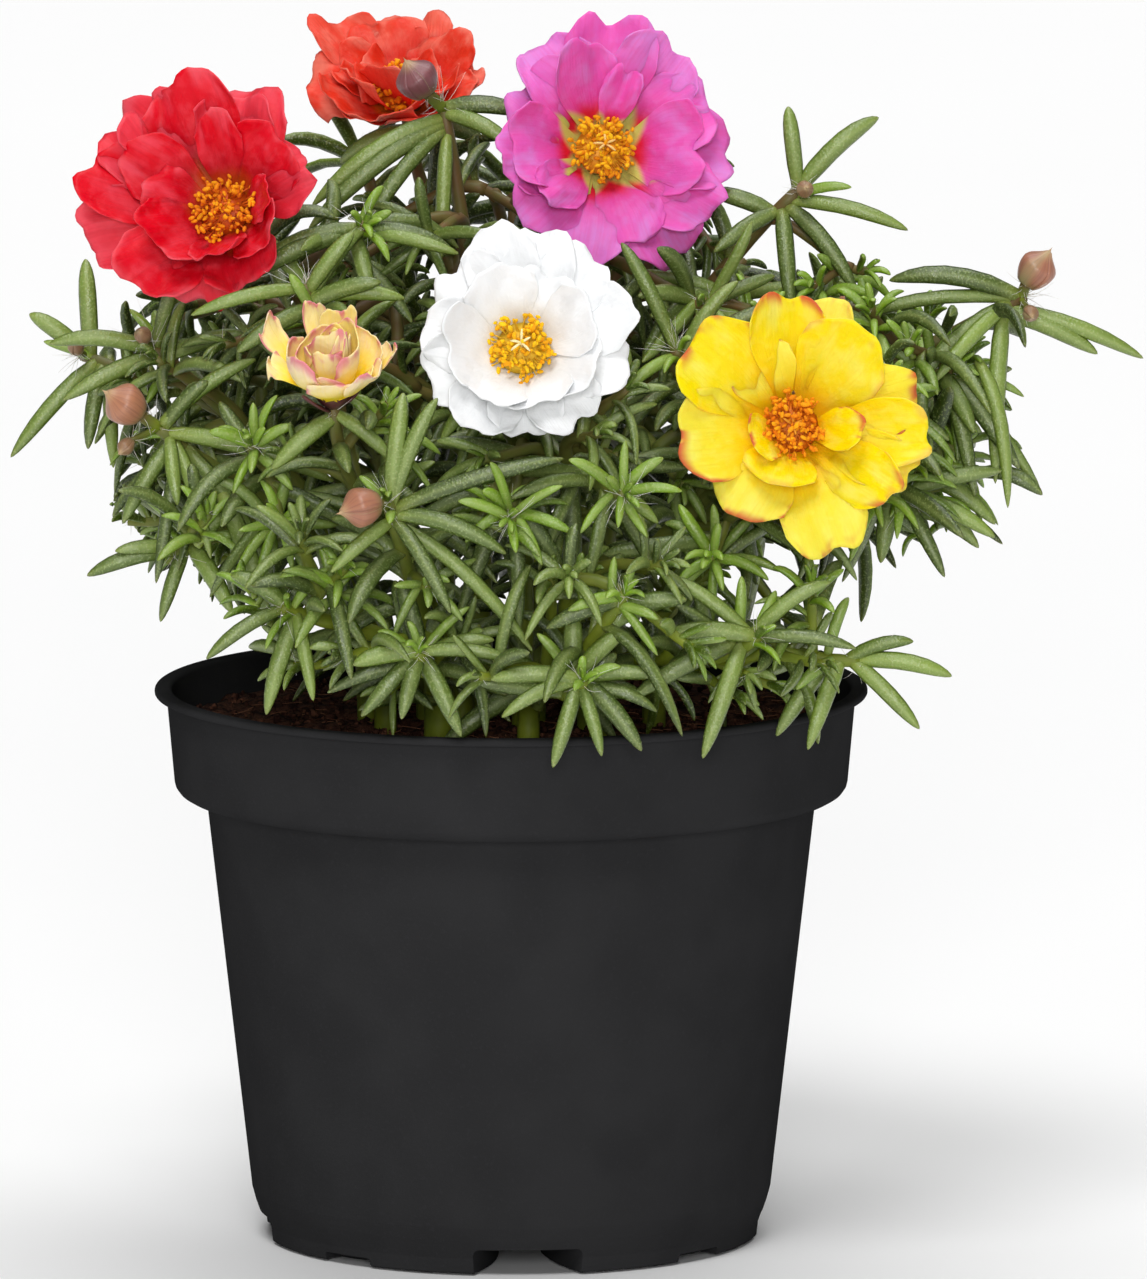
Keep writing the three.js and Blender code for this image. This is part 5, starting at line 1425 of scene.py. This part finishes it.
def make_pot(material):
    """The turned pot, with four channels and their drain holes under it, and four notches."""
    profile = pot_profile()
    pot = loft("pot_visual", [circle(profile[:, :1], profile[:, 1:], clocks(POT_SIDES))])
    quarters = [FOOT_TURN + turn for turn in (-90, 0, 90, 180)]
    roof = arched_void(CHANNEL, FOOT_RADIUS - ROOF_INSET, CHANNEL["cover"])
    roof[..., 2] = np.maximum(roof[..., 2], 0.2)
    boolean(pot, loft("roofs", [turned(roof, turn) for turn in quarters]), "UNION")
    channel, notch = (arched_void(shape, FOOT_RADIUS + VOID_OVERRUN, 0)
                      for shape in (CHANNEL, NOTCH))
    voids = [turned(channel, turn) for turn in quarters]
    voids += [turned(notch, turn + 45) for turn in quarters]
    boolean(pot, loft("voids", voids), "DIFFERENCE")
    drain = CHANNEL["inner_radius"] + DRAIN_RADIUS + 0.6
    hole = vec([circle(DRAIN_RADIUS, height, clocks(24)) + [drain, 0, 0] for height in DRAIN_CUT])
    boolean(pot, loft("drains", [turned(hole, turn) for turn in quarters]), "DIFFERENCE")
    mesh = pot.data
    mesh.materials.clear()
    mesh.materials.append(material)
    mesh.shade_smooth()
    mesh.set_sharp_from_angle(angle=math.radians(32))
    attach(pot, "root")
    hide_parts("pot")


# ---- Materials ----


def rgb(*display):
    """A linear colour from a display colour of 0 to 255."""
    shares = [value / 255 for value in display]
    linear = [x / 12.92 if x <= 0.04045 else ((x + 0.055) / 1.055) ** 2.4 for x in shares]
    return (*linear, 1.0)


class Look:
    """A procedural material, the colour that it has so far, and short calls for its nodes.

    A call takes sockets, numbers, and display colours of 0 to 255.
    """

    def __init__(self, name, roughness=0.5, specular=0.5, sheen=0.0, subsurface=0.0, depth=0.001):
        self.material = bpy.data.materials.new(name)
        self.material.use_nodes = True
        self.nodes = self.material.node_tree.nodes
        self.links = self.material.node_tree.links
        self.shader = self.nodes["Principled BSDF"]
        for socket, value in (("Roughness", roughness), ("Specular IOR Level", specular),
                              ("Sheen Weight", sheen), ("Subsurface Weight", subsurface),
                              ("Subsurface Scale", depth)):
            self.shader.inputs[socket].default_value = value

    def put(self, socket, value):
        if isinstance(value, bpy.types.NodeSocket):
            self.links.new(value, socket)
        else:
            socket.default_value = rgb(*value) if socket.type == "RGBA" else value

    def value(self, name):
        node = self.nodes.new("ShaderNodeAttribute")
        node.attribute_name = name
        return node.outputs["Fac"]

    def math(self, operation, a, b=0.0):
        node = self.nodes.new("ShaderNodeMath")
        node.operation = operation
        self.put(node.inputs[0], a)
        self.put(node.inputs[1], b)
        return node.outputs[0]

    def times(self, a, b):
        return self.math("MULTIPLY", a, b)

    def span(self, value, low, high, to_low=0.0, to_high=1.0):
        """A value from low to high as a smooth share between two others."""
        node = self.nodes.new("ShaderNodeMapRange")
        node.interpolation_type = "SMOOTHSTEP"
        for socket, put in zip(node.inputs, (value, low, high, to_low, to_high)):
            self.put(socket, put)
        return node.outputs[0]

    def mix(self, share, a, b):
        node = self.nodes.new("ShaderNodeMix")
        node.data_type = "RGBA"
        self.put(node.inputs["Factor"], share)
        for socket, colour in zip([s for s in node.inputs if s.type == "RGBA"], (a, b)):
            self.put(socket, colour)
        return next(s for s in node.outputs if s.type == "RGBA")

    def coat(self, colour, share, *span):
        """Lay a colour over the look's own, by a share or by the span of a value."""
        self.colour = self.mix(self.span(share, *span) if span else share, self.colour, colour)

    def noise(self, scale, detail, *place):
        """Noise over the object, or over a place made of three values."""
        node = self.nodes.new("ShaderNodeTexNoise")
        node.inputs["Scale"].default_value = scale
        node.inputs["Detail"].default_value = detail
        if place:
            source = self.nodes.new("ShaderNodeCombineXYZ")
            for socket, value in zip(source.inputs, place):
                self.put(socket, value)
            self.links.new(source.outputs[0], node.inputs["Vector"])
        else:
            source = self.nodes.new("ShaderNodeTexCoord")
            self.links.new(source.outputs["Object"], node.inputs["Vector"])
        return node.outputs["Fac"]

    def bump(self, height, strength, distance):
        node = self.nodes.new("ShaderNodeBump")
        node.inputs["Strength"].default_value = strength
        node.inputs["Distance"].default_value = distance
        self.put(node.inputs["Height"], height)
        self.links.new(node.outputs[0], self.shader.inputs["Normal"])

    def finish(self, *roughness):
        """The material, with a roughness that spans a value where one is given."""
        self.put(self.shader.inputs["Base Color"], self.colour)
        if roughness:
            self.put(self.shader.inputs["Roughness"], self.span(*roughness))
        return self.material


def leaf_material():
    look = Look("leaf", roughness=0.42, specular=0.72, subsurface=0.05)
    tint, along, upper = look.value("tint"), look.value("along"), look.value("upper")
    # Dark to bright green by the tint: random tone, kept low on inner and lower leaves, which is
    # partly painted shade.
    look.colour = look.mix(tint, (39, 58, 2), (108, 132, 28))
    look.coat((126, 166, 10), look.value("young"), 0.15, 0.95)
    look.coat((58, 77, 12), look.noise(160, 2), 0.35, 0.7, 0, 0.4)
    # Painted shade: the leaf's under side is darkened.
    look.coat((34, 46, 3), upper, -0.9, 0.3, 0.65, 0)
    # Painted highlight: the leaf's upper side is paled, less on darker-tinted leaves; partly also the
    # top's paler waxy coat.
    look.coat((166, 188, 104), look.times(look.span(upper, -0.1, 1, 0, 0.36),
                                          look.span(tint, 0, 0.6, 0.4, 1)))
    # Painted highlight: a pale band along the middle of the leaf's upper side.
    middle = look.span(look.math("ABSOLUTE", look.value("across")), 0, 0.5, 1, 0)
    look.coat((182, 198, 120), look.times(middle, look.span(upper, 0.4, 1, 0, 0.2)))
    look.coat((150, 162, 70), along, 0, 0.22, 0.55, 0)
    look.coat((116, 120, 40), along, 0.9, 1, 0, 0.35)
    speckle = look.noise(2600, 1)
    look.coat((180, 196, 128), speckle, 0.53, 0.68, 0, 0.3)
    look.bump(look.math("ADD", speckle, look.times(look.noise(700, 2), 1.5)), 0.5, 0.0002)
    return look.finish(look.noise(420, 2), 0.3, 0.7, 0.34, 0.5)


def stem_material():
    look = Look("stem", specular=0.4, subsurface=0.05)
    height = look.value("along")
    look.colour = look.mix(look.span(height, 0.1, 0.6), (128, 142, 34), (112, 116, 50))
    look.coat((116, 88, 52), height, 0.6, 1)
    look.coat((92, 112, 40), look.noise(240, 3), 0.35, 0.7, 0, 0.5)
    streaks = look.noise(1, 3, look.times(look.value("tint"), 9), look.noise(260, 2), height)
    look.coat((70, 62, 26), streaks, 0.4, 0.7, 0, 0.25)
    look.bump(look.noise(1400, 2), 0.25, 0.0001)
    return look.finish()


PETAL_LOOKS = {
    # blade, deeper blade towards the foot (partly the petal's own colour, partly painted shade in the
    # bloom's heart), pale shade of back petals and margins, throat, rim
    "red": [(222, 0, 30), (176, 0, 16), (240, 80, 98), (206, 84, 8), (242, 104, 114)],
    "orange": [(232, 56, 32), (210, 22, 10), (244, 130, 110), (248, 134, 26), (246, 128, 108)],
    "magenta": [(240, 92, 184), (230, 50, 140), (222, 138, 214), (222, 24, 36), (226, 120, 196)],
    "white": [(247, 248, 249), (243, 244, 242), (246, 247, 248), (236, 220, 130), (248, 248, 249)],
    "yellow": [(255, 222, 0), (252, 204, 0), (255, 238, 112), (240, 170, 0), (206, 84, 52)],
    "half_open": [(254, 232, 134), (255, 218, 20), (252, 226, 190), (252, 214, 30), (222, 110, 136)],
}
# How much of the margin the rim's colour takes, and how far in it reaches along the petal.
RIMS = {"red": [0.3, 0.9], "orange": [0.35, 0.88], "magenta": [0.2, 0.9], "white": [0, 0.95],
        "yellow": [0.95, 0.87], "half_open": [0.85, 0.72]}


def coat_throat(look, name, u, side_share, throat):
    """The petal's foot: its throat's colour, or the magenta bloom's red blotch and pale star."""
    if name == "magenta":
        look.coat(throat, look.times(look.span(side_share, 0.3, 0.85, 0.95, 0),
                                     look.span(u, 0.3, 0.48, 1, 0)))
        star = look.math("SUBTRACT", u, look.times(side_share, 0.2))
        look.coat((206, 192, 96), star, 0.14, 0.26, 1, 0)
    else:
        look.coat(throat, u, 0.16, 0.3 if name in ("half_open", "white") else 0.46, 0.95, 0)


def petal_material(name):
    blade, deep_and_shade, pale, throat, rim = PETAL_LOOKS[name]
    white = name == "white"
    look = Look("petal_" + name, roughness=0.52, specular=0.2, depth=0.0012,
                subsurface={"white": 0.08, "half_open": 0.15}.get(name, 0.35))
    look.shader.inputs["Subsurface Radius"].default_value = (1, 1, 1) if white else (1, 0.5, 0.4)
    u, v, tint = look.value("along"), look.value("across"), look.value("tint")
    place = look.times(tint, 30)
    clouds = look.noise(1, 2, look.times(v, 1.7), look.times(u, 2.4), place)
    veins = look.noise(1, 3, look.times(v, 15), look.times(u, 1.6), place)
    mottle = look.noise(520, 3)
    side_share = look.math("ABSOLUTE", v)
    # Deeper towards the petal's foot: partly its own colour, partly painted shade where the petals
    # crowd in the bloom's heart.
    look.colour = look.mix(look.span(u, 0.2, 0.8), deep_and_shade, blade)
    back = look.times(look.math("SUBTRACT", 1, look.value("upper")), 0.5)
    soft = look.math("ADD", look.span(look.value("young"), 0.35, 1, 0, 0.6), back)
    look.coat(pale, look.times(soft, look.span(u, 0.25, 1)))
    cloudy = look.span(clouds, 0.46, 0.72, 0, 0.68 if name == "red" else 0.75)
    look.coat(pale, look.times(cloudy, look.span(u, 0.3, 0.9)))
    look.coat(pale, mottle, 0.45, 0.7, 0, 0.1 if white else 0.2)
    look.coat((214, 214, 212) if white else deep_and_shade, veins, 0.42, 0.72, 0, 0.04 if white else 0.2)
    coat_throat(look, name, u, side_share, throat)
    share, start = RIMS[name]
    side = look.times(look.span(side_share, 0.86, 1), look.span(u, start - 0.4, start))
    edge = look.math("MAXIMUM", look.span(u, start, 1), side)
    ragged = look.times(edge, look.span(clouds, 0.46, 0.6))
    some = look.span(tint, 0.1, 0.35, 0.35, 1) if name == "yellow" else 1
    look.coat(rim, look.times(look.times(ragged, some), share))
    look.bump(look.math("ADD", look.times(veins, 0.45), mottle), 0.45, 0.0005)
    return look.finish(clouds, 0.3, 0.7, 0.42, 0.58)


STAMEN_LOOKS = {
    # anthers from and to, filaments at the foot and at the top, style
    "red": [(228, 116, 0), (255, 186, 14), (120, 24, 8), (214, 92, 20), (224, 110, 30)],
    "orange": [(232, 120, 0), (255, 190, 14), (150, 40, 8), (222, 110, 20), (236, 150, 60)],
    "magenta": [(240, 146, 0), (255, 206, 20), (170, 120, 20), (240, 176, 40), (244, 206, 130)],
    "white": [(240, 160, 0), (255, 216, 24), (176, 150, 20), (236, 196, 50), (252, 242, 190)],
    "yellow": [(234, 124, 0), (255, 182, 12), (150, 56, 6), (222, 124, 20), (236, 166, 50)],
}


def stamen_materials(name):
    low, high, foot, top, pistil = STAMEN_LOOKS[name]
    anther = Look("anther_" + name, roughness=0.62, specular=0.2, sheen=0.05)
    anther.colour = anther.mix(anther.value("tint"), low, high)
    grain = anther.noise(4200, 1)
    anther.coat(low, grain, 0.45, 0.7, 0, 0.4)
    anther.bump(grain, 0.6, 0.00012)
    filament = Look("filament_" + name, specular=0.3, subsurface=0.05)
    filament.colour = filament.mix(filament.span(filament.value("along"), 0.1, 0.8), foot, top)
    filament.coat(low, filament.times(filament.value("tint"), 0.35))
    filament.bump(filament.noise(3000, 1), 0.2, 0.0001)
    style = Look("style_" + name, roughness=0.6, specular=0.25, subsurface=0.05)
    fuzz = style.noise(5200, 1)
    style.colour = style.mix(style.span(fuzz, 0.4, 0.7, 0, 0.45), pistil, top)
    style.bump(fuzz, 0.5, 0.0001)
    return [look.finish() for look in (anther, filament, style)]


def bud_material():
    look = Look("bud", roughness=0.36, sheen=0.04, subsurface=0.04)
    along, across, tint = look.value("along"), look.value("across"), look.value("tint")
    look.colour = look.mix(tint, (184, 126, 92), (132, 82, 86))
    look.coat((150, 116, 84), look.value("young"))
    look.coat((130, 118, 66), along, 0, 0.25, 0.6, 0)
    look.coat((204, 174, 128), along, 0.68, 0.92, 0, 0.8)
    lines = look.noise(1, 3, look.times(across, 7), look.times(along, 1.2), tint)
    look.coat((112, 66, 64), lines, 0.42, 0.7, 0, 0.35)
    from_keel = look.math("ABSOLUTE", look.math("SUBTRACT", across, 3.1))
    look.coat((170, 168, 122), look.times(look.span(from_keel, 0.1, 0.7, 1, 0),
                                          look.span(along, 0.1, 0.5, 0.55, 0.35)))
    look.bump(lines, 0.35, 0.00025)
    return look.finish()


def calyx_material():
    look = Look("calyx", specular=0.4, subsurface=0.04)
    look.colour = look.mix(look.value("tint"), (116, 124, 52), (108, 88, 54))
    look.coat((126, 66, 58), look.value("along"), 0.5, 1, 0, 0.5)
    look.coat((92, 44, 48), look.value("young"))
    grain = look.noise(900, 2)
    look.coat((84, 74, 40), grain, 0.4, 0.7, 0, 0.35)
    look.bump(grain, 0.3, 0.0001)
    return look.finish()


def hair_material():
    look = Look("hair", specular=0.4, sheen=0.2, subsurface=0.1)
    look.colour = look.mix(look.value("along"), (214, 204, 184), (246, 244, 238))
    look.bump(look.noise(2500, 1), 0.1, 0.0001)
    return look.finish()


def soil_materials():
    soil = Look("soil", roughness=0.95, specular=0.15)
    crumbs = soil.mix(soil.value("tint"), (36, 18, 14), (112, 72, 54))
    grain = soil.noise(520, 4)
    soil.colour = soil.mix(soil.span(grain, 0.36, 0.6), (36, 17, 13), crumbs)
    soil.bump(soil.math("ADD", grain, soil.noise(1800, 2)), 0.9, 0.0006)
    fibre = Look("fibre", roughness=0.85, specular=0.2)
    fibre.colour = fibre.mix(fibre.value("tint"), (80, 42, 28), (150, 104, 76))
    fibre.bump(fibre.noise(1500, 2), 0.4, 0.0001)
    return [soil.finish(), fibre.finish()]


def pot_material():
    look = Look("pot_plastic", roughness=0.42, specular=0.0)
    cells = look.noise(1500, 2)
    look.colour = look.mix(look.span(look.noise(60, 2), 0.3, 0.7), (43, 43, 44), (47, 47, 48))
    look.coat((50, 50, 52), cells, 0.55, 0.75, 0, 0.4)
    look.bump(look.math("ADD", cells, look.times(look.noise(5200, 1), 0.5)), 0.3, 0.00012)
    return look.finish(look.noise(240, 3), 0.3, 0.7, 0.36, 0.5)


# ---- Stage, light and camera, in metres ----

FLOOR_RADIUS = 14
FLOOR_DROP = 0.0004
CAMERA_PLACE = Vector((0.0105, -2.952, 0.5434))
CAMERA_TARGET = Vector((0.0105, 0.0, 0.1008))
CAMERA_LENS = 499.4
# Suns: the direction that each shines from, its strength, and its width in degrees.
SUNS = {"key": [(-0.16, -0.62, 0.95), 1.4, 24], "fill": [(0.0, -0.97, 0.24), 1.15, 16],
        "top": [(0.1, 0.25, 1.0), 1.75, 50]}
SKY_STRENGTH = 0.1


def make_stage():
    bpy.ops.mesh.primitive_circle_add(vertices=96, radius=FLOOR_RADIUS, fill_type="NGON",
                                      location=(0, 0, -FLOOR_DROP))
    floor = bpy.context.object
    floor.name = "floor"
    look = Look("floor_white", roughness=0.7, specular=0.2)
    look.colour = look.mix(look.noise(3, 2), (247, 247, 247), (250, 250, 250))
    floor.data.materials.append(look.finish())


def aim(made, direction):
    """Turn a lamp or a camera to look along a direction."""
    made.rotation_mode = "QUATERNION"
    made.rotation_quaternion = direction.to_track_quat("-Z", "Y")


def make_light():
    for name, (source, strength, angle) in SUNS.items():
        light = bpy.data.lights.new(name, "SUN")
        light.energy = strength
        light.angle = math.radians(angle)
        aim(link(name, light), -Vector(source))
    world = bpy.data.worlds.new("studio")
    world.use_nodes = True
    background = world.node_tree.nodes["Background"]
    background.inputs["Color"].default_value = (1, 1, 1, 1)
    background.inputs["Strength"].default_value = SKY_STRENGTH
    bpy.context.scene.world = world
    bpy.context.scene.view_settings.view_transform = "Standard"


def make_camera():
    camera = link("camera", bpy.data.cameras.new("camera"))
    camera.data.lens = CAMERA_LENS
    camera.location = CAMERA_PLACE
    aim(camera, CAMERA_TARGET - CAMERA_PLACE)
    bpy.context.scene.camera = camera


# ---- The whole scene ----


def build():
    rng = np.random.default_rng(SEED)
    make_camera()
    make_light()
    make_stage()
    make_pot(pot_material())
    make_soil(rng, soil_materials())
    room, stems = lay_plant()
    fill_tips(room, stems, rng)
    add_drooping_leaves(room, stems)
    add_young_shoots(room, stems, rng)
    fill_along(room, stems, rng)
    fill_shoots(room, stems, rng)
    make_stems(stems, rng, [leaf_material(), stem_material()])
    make_hairs(stems, rng, hair_material())
    make_blooms(rng)
    make_buds(rng, bud_material())


build()
